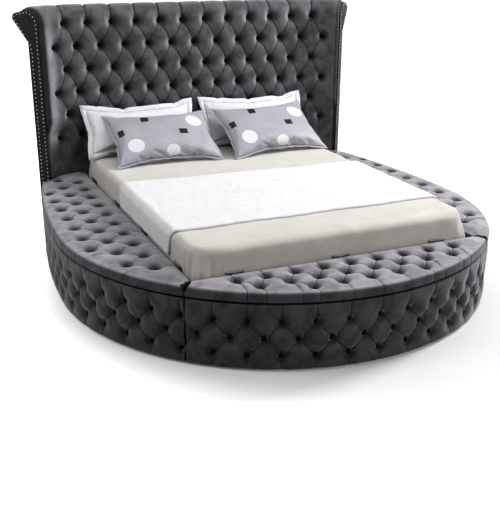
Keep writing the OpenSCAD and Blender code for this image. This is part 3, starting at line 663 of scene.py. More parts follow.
plastic, tree, shader, place = new_material("Black plastic", Specular_IOR_Level=0.5)
mould = noise(tree, place, 500.0)
tone = ramp_of(tree, mould, [(0.3, (0.02, 0.02, 0.02)), (0.7, (0.035, 0.035, 0.036))])
set_inputs(tree, shader, {"Base Color": tone,
                          "Normal": bump_of(tree, times(tree, mould, 0.0002)),
                          "Roughness": scaled(tree, mould, 0.15, 0.42)})

finish_of_slot = {
    "velvet": plain_velvet, "dark_lining": lining, "plywood": birch, "steel": steel,
    "black_plastic": plastic, "sheet": sheet_plush, "fleece": fleece, "white_cotton": percale,
    "printed_cotton": sateen,
}
for part in frame["record"]["subparts"]:
    node = part["node"]
    mesh = frame["nodes"][node].data
    mesh.materials.clear()
    # painted shade: the wings' nail bands and the headboard's back get the near-black velvet
    shaded_band = node.startswith("wing_band") or node == "headboard_back"
    mesh.materials.append(band_shade_velvet if shaded_band else finish_of_slot[part["material_slot"]])

# %% [markdown]
# ## The camera
# It stands where the photograph was taken from, in front of the foot end's left side and a little
# above eye level, with a lens a bit longer than normal. The angles come from fitting the platform's
# outline, the mattress's edges and the rows of buttons.

# %% Camera
yaw, pitch, roll = 0.41610, 0.36018, 0.005106
ahead = Vector((math.sin(yaw) * math.cos(pitch), math.cos(yaw) * math.cos(pitch), -math.sin(pitch)))
level = Vector((math.cos(yaw), -math.sin(yaw), 0))
upward = level.cross(ahead)
right = math.cos(roll) * level + math.sin(roll) * upward
top = -math.sin(roll) * level + math.cos(roll) * upward
lens = bpy.data.cameras.new("Camera")
lens.lens = 59.08
lens.sensor_width = 36.0
camera = bpy.data.objects.new("Camera", lens)
camera.matrix_world = Matrix((right, top, -ahead)).transposed().to_4x4()
camera.location = (-1.9427, -4.2115, 1.8272)
scene.collection.objects.link(camera)
scene.camera = camera
print("camera at", tuple(round(c, 3) for c in camera.location))

# %% [markdown]
# ## The headboard's front
# One cloth runs from behind the pillows up the diamonds, over the rounded shoulder and the crest, and
# round the rolled lip at the back. Its section is a list of rows. Each row has a place, the direction
# that the padding pushes in, how deep a button would pull there, and its height in the flat cloth.

# %% Headboard: lattice of buttons and folds
column = 0.1575
row = 0.140
top_row = 1.340
rows = [top_row - k * row for k in range(6)]
wing_end = wing_start + wing_turn * wing_r - 0.007
snap_reach = 0.0029
crest_run = 0.40
hem_run = 0.10
diamond_fold, crest_fold, hem_fold = 0.13, 0.72, 0.3


def button_row(k):
    half = 0.5 if k % 2 == 0 else 0.0
    return [(i + half) * column for i in range(-7, 8) if abs(i + half) * column < 0.95]


headboard_buttons = [(s, rows[k]) for k in range(6) for s in button_row(k)]
headboard_folds = []
for k in range(5):
    for s in button_row(k):
        for t in (s - column / 2, s + column / 2):
            if any(abs(t - u) < 0.01 for u in button_row(k + 1)):
                headboard_folds.append(((s, rows[k]), (t, rows[k + 1]), diamond_fold))
headboard_folds += [((s, top_row), (s, top_row + crest_run), crest_fold) for s in button_row(0)]
headboard_folds += [((s, rows[5]), (s, rows[5] - hem_run), hem_fold) for s in button_row(5)]
print("headboard:", len(headboard_buttons), "buttons,", len(headboard_folds), "folds")

# %% Headboard: section of the padding
pit_o, low_o = 0.010, 0.0028
deep, crest_deep, thin = 0.044, 0.024, 0.002
shoulder_o, shoulder_z = 0.080, 0.088
crest_z = 1.424
lip_o, lip_z, lip_r = 0.148, 1.384, 0.028
lip_foot_z = 1.252
bulge_from, bulge_to = 0.44, 0.62
end_r = 0.040
panel_o, panel_top_z = 0.0538, 1.2402


def front_row(z):
    """The front bulges over the pad behind the pillows, and stays clear of the lids' ends."""
    bulge = float(ramp(np.array(z), bulge_from, bulge_to))
    return [pit_o * bulge + low_o * (1 - bulge), z, -1.0, 0.0, thin + (deep - thin) * bulge]


def shoulder_rows(n):
    """Rows over the rounded shoulder, where the puffs get lower towards the crest."""
    found = []
    for k in range(1, n + 1):
        a = math.pi / 2 * k / n
        lift = math.sin(a)
        way = Vector((-math.cos(a) / shoulder_o, lift / shoulder_z)).normalized()
        o = shoulder_o - shoulder_o * math.cos(a) + pit_o * (1 - lift)
        z = top_row + shoulder_z * lift - 0.004 * lift
        found.append([o, z, way.x, way.y, deep - (deep - crest_deep) * lift ** 1.3])
    return found


def lip_rows(n):
    """Rows from the crest over the back of the roll, round its lip and under it to the back panel."""
    found = []
    for o in np.linspace(0.086, lip_o, 11):
        past = o - shoulder_o
        found.append([o, crest_z - 0.0126 * (past / 0.068) ** 2, 0.1, 1.0, crest_deep - 0.26 * past])
    for a in np.radians(np.linspace(84, -38, n)):
        x, z = math.cos(a), math.sin(a)
        found.append([lip_o + lip_r * x, lip_z + lip_r * z, x, z, 0.006])
    for o in np.linspace(0.164, 0.090, 12):
        found.append([o, lip_foot_z + (o - 0.084) / 0.086 * 0.1148, 0.8, -0.6, 0.001])
    under = ((0.084, lip_foot_z), (0.076, panel_top_z), (panel_o, panel_top_z))
    return found + [[o, z, 0, 0, 0] for o, z in under]


front = [front_row(z) for z in (0.008, 0.15, 0.30, 0.38)]
front += [front_row(z) for z in np.linspace(0.39, top_row, int(round((top_row - 0.39) / 0.0056)) + 1)]
back = [[panel_o, z, 0, 0, 0] for z in (0.9, 0.4, 0.0082)]
section = np.array(front + shoulder_rows(24) + lip_rows(20) + back + [front[0]])
run = np.concatenate([[0], np.cumsum(np.hypot(*np.diff(section[:, :2], axis=0).T))]) + 0.008
run += top_row - run[len(front) - 1]
run[-1] = run[0]
n_front = len(section) - len(back) - 4
print("section has", len(section), "rows and its cloth is", round(float(run[n_front] - run[0]), 3), "m long")


# %% Headboard: the skin
def headboard_shape(along, across):
    number = across.astype(int)
    last = len(section) - 1
    hidden = (number >= n_front) & (number < last)
    flat = np.stack([along, run[number]], -1)
    keep = hidden | (number == 0) | (number == last) | (np.abs(along) > wing_end - 0.02)
    snapped, on_fold = snapped_to_folds(flat, headboard_folds, snap_reach)
    snapped[keep] = flat[keep]
    on_fold[keep] = 0
    puff, marks = puffed(snapped, headboard_buttons, headboard_folds, pit_r=0.023, crease_w=0.010, room=0.066,
                         crown=0.16, funnel=0.45, low_r=0.017)
    # a point that moved along the section reads the section again at its new place
    values = [np.interp(snapped[:, 1], run[:n_front], section[:n_front, c]) for c in range(5)]
    o, z, push_o, push_z, depth = [np.where(keep, section[number, c], values[c]) for c in range(5)]
    from_middle = np.abs(snapped[:, 0])
    to_end = wing_end - from_middle
    # low on the wings the padding is thin, so that the open lids' rear ends pass in front of it
    padded = depth > 0.0015
    room = np.where(padded, 1 - ramp(from_middle, 0.84, 0.95) * (1 - ramp(z, 0.65, 0.77)), 1.0)
    o = o * room + low_o * (1 - room)
    depth = np.where(padded, np.maximum(depth * room, thin), depth)
    fall = np.minimum(rounded_over(to_end, end_r) * 0.8, depth * puff + 0.004) * (depth > 0)
    o = o + push_o * (depth * puff - fall)
    z = z + push_z * (depth * puff - fall)
    x, y = headboard_at(snapped[:, 0], o)
    marks["on_fold"] = on_fold
    marks["fold"] = np.where(hidden, 1.0, marks["fold"])
    # painted shade: along the wings' rolled ends the velvet gets the half pressed, darker material
    edge_shade = np.clip((0.015 - to_end) / press_and_shade_fade + 0.5, 0, 0.6) * (depth > 0)
    marks["low"] = np.maximum(marks["low"], edge_shade)
    # painted light: the left wing's end is painted paler, in a strip that fades towards its foot and its
    # crest
    strip = ramp(to_end, 0.016, 0.042) * (1 - ramp(to_end, 0.06, 0.135))
    lit = ramp(z, 0.50, 0.75) * (1 - 0.75 * ramp(z, 1.22, 1.37))
    marks["painted_light"] = 0.9 * strip * lit * (along < 0)
    return np.stack([x, y, z], -1), marks


along = steps(-wing_end, wing_end, 0.0056, soft=(0.0008, 0.0025, 0.005, 0.009, 0.014))
front_mesh = wrapped_skin("headboard_front", along, np.arange(len(section)), headboard_shape)
wall_finish = (wall_velvet, half_shaded_velvet, pressed_and_shaded_velvet)
headboard_front = piece("headboard_front", front_mesh, "bed", wall_finish,
                        ["headboard_tufting", "headboard_roll", "headboard_lower_pad"])

# %% [markdown]
# ## The covers round the platform
# The drum is three tufted covers, nailed to bent plywood. Each has three rows of buttons. From the top
# and bottom rows the folds run straight over the rounded edges. The section's rows are like the
# headboard's: how far inside the outline, how high, the way the padding is pushed, and how deep.

# %% Covers: lattice and section
cover_pitch = 0.158
cover_rows = (0.238, 0.156, 0.074)
cover_top = 0.3307
cover_foot = 0.008
cover_back = 0.0295
cover_edge_r, cover_end_r = 0.013, 0.007
cover_edge_pad, cover_pad = 0.006, 0.021
cover_full_at = 0.060
drawn_edge = 0.004
last_button = 0.025
diamond_drop, straight_drop = 0.2, 0.4
mitre_gap = 0.0015
beyond_pins = 2 * (round_r ** 2 - pin_x ** 2 - pin_y ** 2)
mitre_reach = (math.sqrt((pin_x + pin_y) ** 2 + beyond_pins) - pin_x - pin_y) / 2
mitre_at = round_r * math.atan2(pin_x + mitre_reach, pin_y + mitre_reach)
box_rear_at = outline_reach(wing_tip_y - 0.018)


def cover_lattice(start, end):
    places = np.arange(math.floor(start / cover_pitch) - 1, math.ceil(end / cover_pitch) + 2) * cover_pitch
    top_z, middle_z, foot_z = cover_rows
    buttons, folds = [], []
    for p in places:
        for q, z in ((p, top_z), (p + cover_pitch / 2, middle_z), (p, foot_z)):
            if start + last_button < q < end - last_button:
                buttons.append((q, z))
        folds += [((p, top_z), (p, 0.5), straight_drop), ((p, foot_z), (p, -0.2), straight_drop)]
        for q in (p - cover_pitch / 2, p + cover_pitch / 2):
            folds += [((p, z), (q, middle_z), diamond_drop) for z in (top_z, foot_z)]
    return buttons, folds


def cover_section():
    """Rows of a cover, from its top edge over its face and under its foot, with their cloth's heights."""
    r = cover_edge_r

    def edge_rows(middle, k, degrees):
        return [[r - r * math.cos(a), middle + k * r * math.sin(a), -math.cos(a), k * math.sin(a),
                 cover_edge_pad] for a in np.radians(degrees)]

    found = [[cover_back, cover_top, 0, 1, 0], [0.020, cover_top, 0, 1, 0]]
    found += edge_rows(cover_top - r, 1, np.linspace(90, 0, 8))
    for z in np.linspace(cover_top - r, cover_foot + r, 53)[1:-1]:
        full = float(ramp(np.array(min(cover_top - z, z - cover_foot)), r, cover_full_at))
        found.append([-0.004 * full, z, -1, 0, cover_edge_pad + cover_pad * full])
    found += edge_rows(cover_foot + r, -1, np.linspace(0, 90, 8))
    found += [[cover_back, z, 0, k, 0] for z, k in ((cover_foot, -1), (0.12, 0), (cover_top, 1))]
    table = np.array(found)
    push_in, push_up = table[:, 2], table[:, 3]
    table[:, 4] *= push_in ** 2
    turned = r * np.arccos(np.clip(-push_in, -1, 1)) * 0.5
    return table, table[:, 1] + np.where(push_up > 0.01, turned, np.where(push_up < -0.01, -turned, 0))


cover_table, cover_heights = cover_section()
drum_finish = (velvet, half_shaded_velvet, pressed_and_shaded_velvet)


def cover_skin(name, start, end, body, replaced, mirror=False):
    buttons, folds = cover_lattice(start, end)

    def shape(along, across):
        number = across.astype(int)
        inward, height, push_in, push_up, depth = cover_table[number].T
        flat = np.stack([along, cover_heights[number]], -1)
        face = (push_in < -0.99) & (along > start + drawn_edge) & (along < end - drawn_edge)
        snapped, on_fold = snapped_to_folds(flat, folds, snap_reach)
        snapped[~face] = flat[~face]
        on_fold[~face & (depth <= 0)] = 0
        puff, marks = puffed(snapped, buttons, folds, pit_r=0.022, crease_w=0.012, room=0.052, crown=0.20,
                             funnel=0.45, low_r=0.014)
        to_end = np.minimum(along - start, end - along)
        inside = inward + depth * (1 - puff) + rounded_over(to_end, cover_end_r) * (depth > 0)
        tucked_in = inward > 0.019
        z = np.where(face, snapped[:, 1], height - push_up * drawn_edge * (1 - puff))
        z = np.where(tucked_in, height, z)
        spot = outline_at(snapped[:, 0], inside)[0]
        if mirror:
            spot[:, 0] *= -1
        marks["on_fold"] = on_fold
        marks["fold"] = np.where(depth > 0, marks["fold"], 1.0)
        # painted shade: the ends, the top edge and the tucked-in cloth get the pressed near-black material,
        # as do the pits
        marks["low"] = np.maximum(marks["low"], (to_end < 0.003) | (height > cover_top - 0.002) | tucked_in)
        return np.column_stack([spot, z]), marks

    mesh = wrapped_skin(name, steps(start, end, cover_pitch / 28), np.arange(len(cover_table)), shape)
    made = piece(name, mesh, body, drum_finish, [replaced])
    return buttons


side_run = (mitre_at + mitre_gap, box_rear_at)
foot_drum_buttons = cover_skin("foot_drum", mitre_gap - mitre_at, mitre_at - mitre_gap, "bed", "foot_cover")
side_drum_buttons = cover_skin("left_drum", *side_run, "bed", "left_cover", mirror=True)
cover_skin("right_drum", *side_run, "bed", "right_cover")

# %% [markdown]
# ## The three lids
# Each lid is a tufted cushion on a board. Seen from above it is a four-sided patch: the hinge line, the
# outline, the mitre and the end by the headboard. The grid is stretched between these four curves,
# and the buttons stay on their own straight lattice. At the mitres the cushions are bevelled, so that
# two neighbours can stand open at once.

# %% Lids: lattice
lid_board_top = 0.3493
lid_edge_z = 0.388
lid_opens = math.radians(50)
mitre_back = 0.0042426
rear_gap = 0.008
lid_rear_y = wing_tip_y - rear_gap - 0.006
side_pitch, foot_pitch = 0.176, 0.148
to_mattress, to_outline = -0.3, 0.4
lid_diamond_drop, lid_straight_drop = 0.1, 0.45
side_rows = [
    [(0.881, 0.090 + side_pitch * k) for k in range(-4, 6)],
    [(0.992, 0.002 + side_pitch * k) for k in range(-3, 7)],
    [(1.103, 0.090 + side_pitch * k) for k in range(-2, 5)],
]
foot_rows = [
    [(0.912, foot_pitch * k) for k in range(-4, 5)],
    [(1.006, foot_pitch * (k + 0.5)) for k in range(-4, 4)],
    [(1.100, foot_pitch * k) for k in range(-2, 3)],
]


def link_rows(rows_of_buttons, pitch):
    """Folds between neighbours of adjoining rows, and straight folds from the rest to the edges."""
    folds = []
    for k, here in enumerate(rows_of_buttons):
        for other, straight in ((k - 1, to_mattress), (k + 1, to_outline)):
            there = rows_of_buttons[other] if 0 <= other < len(rows_of_buttons) else []
            for a in here:
                linked = [b for b in there if abs(abs(a[1] - b[1]) - pitch / 2) < 0.002]
                if other > k:
                    folds += [(a, b, lid_diamond_drop) for b in linked]
                if len(linked) < 2:
                    folds.append((a, (a[0] + straight, a[1]), lid_straight_drop))
    return folds


side_folds = link_rows(side_rows, side_pitch)
foot_folds = link_rows(foot_rows, foot_pitch)
print("lid buttons:", sum(map(len, side_rows)), "a side,", sum(map(len, foot_rows)), "at the foot")


# %% Lids: edges of the patch and section
def mitre_height(own, past):
    """Height under which a lid stays, so that two open neighbours never meet over the mitre."""
    return pin_z - (past + mitre_back - own * math.cos(lid_opens)) / math.sin(lid_opens)


def rear_curve(x):
    u = x - wing_start
    r = wing_r - rear_gap
    round_wing = wing_middle_y + np.sqrt(np.maximum(r * r - u * u, 0))
    return np.where(u < r * math.sin(wing_turn), round_wing, lid_rear_y)


def lid_section(width_rows):
    """Rows of a lid: (patch coordinate, offset in, offset out, height, push out, push up, depth)."""
    inner, outer, welt = 0.010, 0.017, 0.005

    def directions(start, end, n):
        return [(math.cos(a), math.sin(a)) for a in np.radians(np.linspace(start, end, n))]

    found = [[0, inner, 0, lid_board_top, 0, 0, 0], [0, inner, 0, 0.362, -1, 0, 0.0005]]
    for x, z in directions(0, 90, 6):
        found.append([0, inner * x, 0, lid_edge_z - inner + inner * z, -x, z, 0.002])
    found += [[t, 0, 0, lid_edge_z, 0, 1, 0.020] for t in np.linspace(0, 1, width_rows)[1:]]
    for x, z in directions(90, 0, 10)[1:]:
        found.append([1, 0, outer * x, lid_edge_z - outer + outer * z, x, z, 0.007])
    found += [[1, 0, outer, z, 1, 0, 0.007] for z in np.linspace(lid_edge_z - outer, 0.342, 7)[1:]]
    for x, z in directions(0, -90, 5)[1:]:
        found.append([1, 0, outer - welt + welt * x, 0.341 + welt * z, 0, 0, 0])
    found += [[1, 0, outer - 0.0125, z, 0, 0, 0] for z in (0.336, lid_board_top)]
    return np.array(found + [found[0]])


# %% Lids: the skins
crown_room, crown_height = 0.050, 0.011
edge_pad, middle_pad = 0.006, 0.030
rear_edge_r = 0.012
near_end = 0.003
fold_width = 0.0012
bevel_clear, bevel_soft = 0.0005, 0.008
lid_finish = (lid_velvet, half_shaded_velvet, pressed_and_shaded_velvet)


def lid_skin(name, side, body, replaced, mirror=False):
    """A lid in (away from the mattress, along it) coordinates, which then turn to X and Y."""
    lattice, folds = (side_rows, side_folds) if side else (foot_rows, foot_folds)
    buttons = [button for line in lattice for button in line]
    table = lid_section(76 if side else 70)
    hinge, past_pin = (pin_x, pin_y) if side else (pin_y, pin_x)
    inner_line = hinge + 0.007 + 0.010
    outer_start = mitre_at + 0.0035 if side else 0.0035 - mitre_at
    outer_end = outline_reach(lid_rear_y) if side else mitre_at - 0.0035

    def front_of(away):
        return -(past_pin + away - hinge - mitre_back)

    def back_of(away):
        return rear_curve(away) if side else -front_of(away)

    def outer_at(b):
        spot, way = outline_at(outer_start + (outer_end - outer_start) * b, 0.017)
        if side:
            return spot, way
        return np.stack([-spot[:, 1], spot[:, 0]], -1), np.stack([-way[:, 1], way[:, 0]], -1)

    inner_front, inner_back = front_of(inner_line), float(back_of(np.array(inner_line)))
    length = abs(inner_back - inner_front)

    def inner_at(b):
        return np.stack([np.full_like(b, inner_line), inner_front + (inner_back - inner_front) * b], -1)

    def patch(a, b):
        o, way = outer_at(b)
        i = inner_at(b)
        (i0, i1), (o0, o1) = inner_at(np.array([0.0, 1.0])), outer_at(np.array([0.0, 1.0]))[0]
        away0 = inner_line + (o0[0] - inner_line) * a
        away1 = inner_line + (o1[0] - inner_line) * a
        f = np.stack([away0, front_of(away0)], -1)
        g = np.stack([away1, back_of(away1)], -1)
        A, B = a[:, None], b[:, None]
        corners = (1 - A) * (1 - B) * i0 + A * (1 - B) * o0 + (1 - A) * B * i1 + A * B * o1
        # the ends of the outline may lie a little off the end curves, so the ends' own curves win
        return (1 - A) * i + A * o + (1 - B) * f + B * g - corners, way

    def shape(along, across):
        t, off_in, off_out, height, push_out, push_up, pad = table[across.astype(int)].T
        b = along / length
        spot, way = patch(t, b)
        cloth, top_face = pad > 0, push_up > 0.99
        snapped, on_fold = snapped_to_folds(spot, folds, 0.0031)
        ends = (along < near_end) | (along > length - near_end) | ~top_face | (t < 0.001) | (t > 0.999)
        snapped[ends] = spot[ends]
        flat = snapped.copy()
        flat[:, 0] += np.maximum(off_out, 0) + np.where(off_out > 0, 0.3884 - height, 0) * 0.8
        puff, marks = puffed(flat, buttons, folds, pit_r=0.024, crease_w=0.010, room=0.056 if side else 0.05,
                             crown=0.08, funnel=0.3, low_r=0.017)
        fold_here = np.where(cloth, marks["fold"], 1.0)
        creased = fold_here < fold_width
        on_fold = np.where(ends & (fold_here > fold_width), 0, np.maximum(on_fold, creased))
        width_here = np.maximum(outer_at(b)[0][:, 0] - inner_line, 0.03)
        to_edge = np.minimum(snapped[:, 0] - inner_line, (1 - t) * width_here)
        full = ramp(to_edge, 0.0, crown_room)
        sunk = np.where(top_face, edge_pad + middle_pad * full, pad) * (1 - puff) * cloth
        z = height + np.where(top_face, crown_height * full, 0) - push_up * sunk
        plan = snapped + way * (off_out - sunk * push_out * (push_out > 0))[:, None]
        plan[:, 0] -= off_in
        if side:
            z = z - rounded_over(length - along, rear_edge_r) * (height > 0.37)
        # pressed pile and painted shade: the pits, and the rows under the welt, get the darker materials
        low = np.maximum(marks["low"] * cloth, height < 0.3405)
        # each mitred end is cut back to its limit, with a soft bend where the bevel starts
        for k in (1,) if side else (1, -1):
            limit = mitre_height(plan[:, 0] - hinge, -k * plan[:, 1] - past_pin)
            # painted shade along the mitre: the faces near the bevel get the pressed near-black material
            low = np.maximum(low, limit - z < 0.003)
            gap = limit - bevel_clear - z
            blend = np.clip(0.5 - gap / (2 * bevel_soft), 0, 1)
            z = z + np.where(gap < -bevel_soft, gap, -bevel_soft * blend ** 2 * (np.abs(gap) < bevel_soft))
            z = np.where(gap < bevel_soft, np.minimum(z, limit - bevel_clear), z)
        z = np.maximum(z, np.minimum(height, lid_board_top))
        over_in, over_along = marks["button"][:, 0], marks["button"][:, 1]
        # painted light and shade: the button offsets are turned so that each pit's head side is painted dark
        # and its foot side light
        if side:
            points = np.stack([plan[:, 0] * (-1 if mirror else 1), plan[:, 1], z], -1)
            marks["button"] = np.stack([over_along, over_in, np.zeros_like(z)], -1)
        else:
            points = np.stack([plan[:, 1], -plan[:, 0], z], -1)
            marks["button"] = np.stack([-over_in, over_along, np.zeros_like(z)], -1)
        # painted light: the top face, where it faces up, is marked to be painted paler
        marks |= {"on_fold": on_fold, "fold": fold_here, "painted_light": ramp(push_up, 0.4, 0.97), "low": low}
        return points, marks

    mesh = wrapped_skin(name, steps(0, length, 0.0057), np.arange(len(table)), shape)
    made = piece(name, mesh, body, lid_finish, [replaced])
    return buttons


side_lid_buttons = lid_skin("left_lid_tufts", True, "left_lid", "left_lid_cushion", mirror=True)
lid_skin("right_lid_tufts", True, "right_lid", "right_lid_cushion")
foot_lid_buttons = lid_skin("foot_lid_tufts", False, "foot_lid", "foot_lid_cushion")

# %% [markdown]
# ## Buttons
# A covered button is a shallow dome about 24 mm wide, sunk in its pit. There are more than two hundred,
# so each is a small sphere of few faces, flattened, turned to face out and joined with its neighbours.

# %% Buttons
button_r, button_thick, lid_button_thick = 0.0125, 0.006, 0.0055
headboard_button_o, cover_button_in, lid_button_z = 0.005, 0.0205, 0.3665
up = Vector((0, 0, 1))


def joined_domes(name, places, radius, thick, body, material, around=10, rings=6):
    """Flattened spheres as one piece. Each place is a centre in the drawing and the way out."""
    bm = bmesh.new()
    for centre, outward in places:
        made = bmesh.ops.create_uvsphere(bm, u_segments=around, v_segments=rings, radius=1.0)
        turn = outward.to_track_quat("Z", "Y").to_matrix().to_4x4()
        size = Matrix.Diagonal((radius, radius, thick, 1))
        middle = Matrix.Translation(centre + Vector((0, shift_y, 0)))
        bmesh.ops.transform(bm, matrix=middle @ turn @ size, verts=made["verts"])
    for face in bm.faces:
        face.smooth = True
    print(f"{name}: {len(places)} domes")
    return piece(name, mesh_from(bm, name), body, material)


def buttons_on(name, places, body="bed", thick=button_thick):
    # the buttons get the near-black velvet, painted shade
    joined_domes(name, places, button_r, thick, body, button_shade_velvet)


def on_headboard(s, z):
    x, y = headboard_at(np.array(s), np.array(headboard_button_o))
    x2, y2 = headboard_at(np.array(s), np.array(headboard_button_o + 0.01))
    return Vector((float(x), float(y), z)), Vector((float(x - x2), float(y - y2), 0)).normalized()


def on_cover(p, z, k=1):
    spot, way = outline_at(np.array([p]), cover_button_in)
    return Vector((k * spot[0, 0], spot[0, 1], z)), Vector((k * way[0, 0], way[0, 1], 0))


def on_lid(x, y):
    return Vector((x, y, lid_button_z)), up


buttons_on("headboard_buttons", [on_headboard(s, z) for s, z in headboard_buttons])
buttons_on("foot_drum_buttons", [on_cover(p, z) for p, z in foot_drum_buttons])
buttons_on("left_drum_buttons", [on_cover(p, z, -1) for p, z in side_drum_buttons])
buttons_on("right_drum_buttons", [on_cover(p, z) for p, z in side_drum_buttons])
for lid, k in (("left_lid", -1), ("right_lid", 1)):
    buttons_on(f"{lid}_buttons", [on_lid(k * x, y) for x, y in side_lid_buttons], lid, lid_button_thick)
buttons_on("foot_lid_buttons", [on_lid(x, -y) for y, x in foot_lid_buttons], "foot_lid", lid_button_thick)

# %% [markdown]
# ## The mattress
# A fitted sheet rounds a mattress's edges and hides its seams. A cube with bevelled corners and edges is
# rebuilt by a voxel remesh. Its even squares can then be drawn rounder at the top of each corner, and
# take soft waves, with upright folds where the sheet hangs at the foot's corners.

# %% Mattress: the block
def rounded(bm, edges, radius, n):
    bmesh.ops.bevel(bm, geom=edges, offset=radius, segments=n, profile=0.5, affect="EDGES", material=-1)


def rise(edge):
    return abs(edge.verts[0].co.z - edge.verts[1].co.z)


def held(name, mesh):
    """An object that holds a mesh while a modifier works on it."""
    holder = bpy.data.objects.new(name, mesh)
    scene.collection.objects.link(holder)
    return holder


def taken_from(holder):
    """The holder's mesh with its modifier worked out. The holder itself goes."""
    made = bpy.data.meshes.new_from_object(holder.evaluated_get(bpy.context.evaluated_depsgraph_get()))
    bpy.data.objects.remove(holder)
    return made


def remeshed(mesh, voxel):
    """The mesh rebuilt in even squares."""
    holder = held("remesh", mesh)
    rebuild = holder.modifiers.new("Remesh", "REMESH")
    rebuild.mode = "VOXEL"
    rebuild.voxel_size = voxel
    rebuild.use_smooth_shade = True
    return taken_from(holder)


corner_r, drawn_r, rim_r = 0.045, 0.13, 0.036
middle = np.array([0, mattress_l / 2 - foot_end, mattress_top - mattress_h / 2])
bm = bmesh.new()
block = Matrix.Translation(middle) @ Matrix.Diagonal((mattress_w, mattress_l, mattress_h, 1))
bmesh.ops.create_cube(bm, size=1.0, matrix=block)
rounded(bm, [e for e in bm.edges if rise(e) > 0.1], corner_r, 8)
rims = [e for e in bm.edges if rise(e) < 0.001 and len(e.link_faces) == 2 and e.calc_face_angle(0) > 1.2]
rounded(bm, rims, rim_r, 6)
bmesh.ops.triangulate(bm, faces=bm.faces)
mesh = remeshed(mesh_from(bm, "mattress_block"), 0.011)
at = coordinates(mesh)


# %% Mattress: corners and waves
def corner_reach(ways, half, radius):
    """Distance from the middle of a rounded square's corner zone to its outline, along each way."""
    big, small = np.maximum(*ways.T), np.minimum(*ways.T)
    straight = half / np.maximum(big, 1e-6)
    centre = half - radius
    along = (big + small) * centre
    bent = along + np.sqrt(np.maximum(along ** 2 - 2 * centre ** 2 + radius ** 2, 0))
    return np.where(small * straight <= centre, straight, bent)


zone = 0.20
half = np.array([mattress_w / 2, mattress_l / 2])
inner = np.abs(at[:, :2] - middle[:2]) - (half - zone)
in_corner = (inner > 0).all(axis=1)
reach = np.linalg.norm(inner[in_corner], axis=1)
ways = inner[in_corner] / np.maximum(reach, 1e-6)[:, None]
before = corner_reach(ways, zone, corner_r)
after = corner_reach(ways, zone, drawn_r)
drawn = ramp(at[in_corner, 2], mattress_top - mattress_h + 0.12, mattress_top - 0.01)
shrink = 1 + (after / before - 1) * drawn * (reach / before) ** 2
moved = (half - zone) + inner[in_corner] * shrink[:, None]
at[in_corner, :2] = middle[:2] + np.sign(at[in_corner, :2] - middle[:2]) * moved

# soft sides, fuller in the middle of their height
x, y, z = at.T
fuller_by, fullest_z, fuller_reach = 0.006, 0.42, 0.12
corner_x, corner_y, folds_reach = 0.745, -0.79, 0.10
fan_x, fan_y = 0.56, -0.60
side = ramp(np.abs(x), mattress_w / 2 - 0.02, mattress_w / 2 - 0.002)
side = np.maximum(side, ramp(-y, foot_end - 0.02, foot_end - 0.002))
side = np.maximum(side, ramp(np.linalg.norm(np.maximum(inner, 0), axis=1), zone - 0.03, zone))
waves = fuller_by * side * (1 - ((z - fullest_z) / fuller_reach) ** 2).clip(0, 1)
hanging = (1 - ramp(z, 0.41, 0.505)) * side
for k, fold_height, folds_round in ((-1, 0.009, 34), (1, 0.003, 30)):
    from_corner = np.hypot(x - k * corner_x, y - corner_y)
    turned = np.arctan2(y - fan_y, x - k * fan_x)
    waves += fold_height * np.exp(-(from_corner / folds_reach) ** 2) * np.sin(turned * folds_round) * hanging
waves += np.sin(y * 13 + x * 9) * np.sin(x * 11 - 1.3) * 0.0015
waves += np.sin(y * 31 - x * 22 + 2) * np.sin(x * 27 + z * 60) * 0.0008
core = np.array([0.66, 0.91, 0.102])
outward = at - np.clip(at, middle - core, middle + core)
outward /= np.maximum(np.linalg.norm(outward, axis=1)[:, None], 1e-6)
at = at + outward * waves[:, None]
at[:, 2] = np.minimum(at[:, 2], mattress_top)
set_coordinates(mesh, at + np.array([0, shift_y, 0]))
sheeted_mattress = piece("sheeted_mattress", mesh, "bed", sheet_plush, ["mattress"])
print("mattress:", len(mesh.polygons), "faces")

# %% [markdown]
# ## The throw
# A fleece nearly a metre wide lies across the mattress and hangs down both sides to the lids. It is a
# thin closed skin. Its rear edge slants, as it would if the cloth had been put down by hand.

# %% Throw
throw_drop = 0.4045
throw_from, throw_to = -0.522, 0.350
throw_thick = 0.0105
throw_rim = 0.006
half_w = mattress_w / 2 + 0.0003
bend = 0.032
lie = mattress_top + 0.0003
flat_run = half_w - bend
quarter = bend * math.pi / 2
throw_half = flat_run + quarter + (lie - bend - throw_drop)


def over_mattress(s, out):
    """Point on the line over the mattress, s from its middle, and out above it."""
    d = np.abs(s)
    a = np.clip((d - flat_run) / bend, 0, math.pi / 2)
    fallen = np.maximum(d - flat_run - quarter, 0)
    x = np.minimum(d, flat_run) + (bend + out) * np.sin(a)
    z = lie - bend + (bend + out) * np.cos(a) - fallen
    return np.sign(s) * x, z


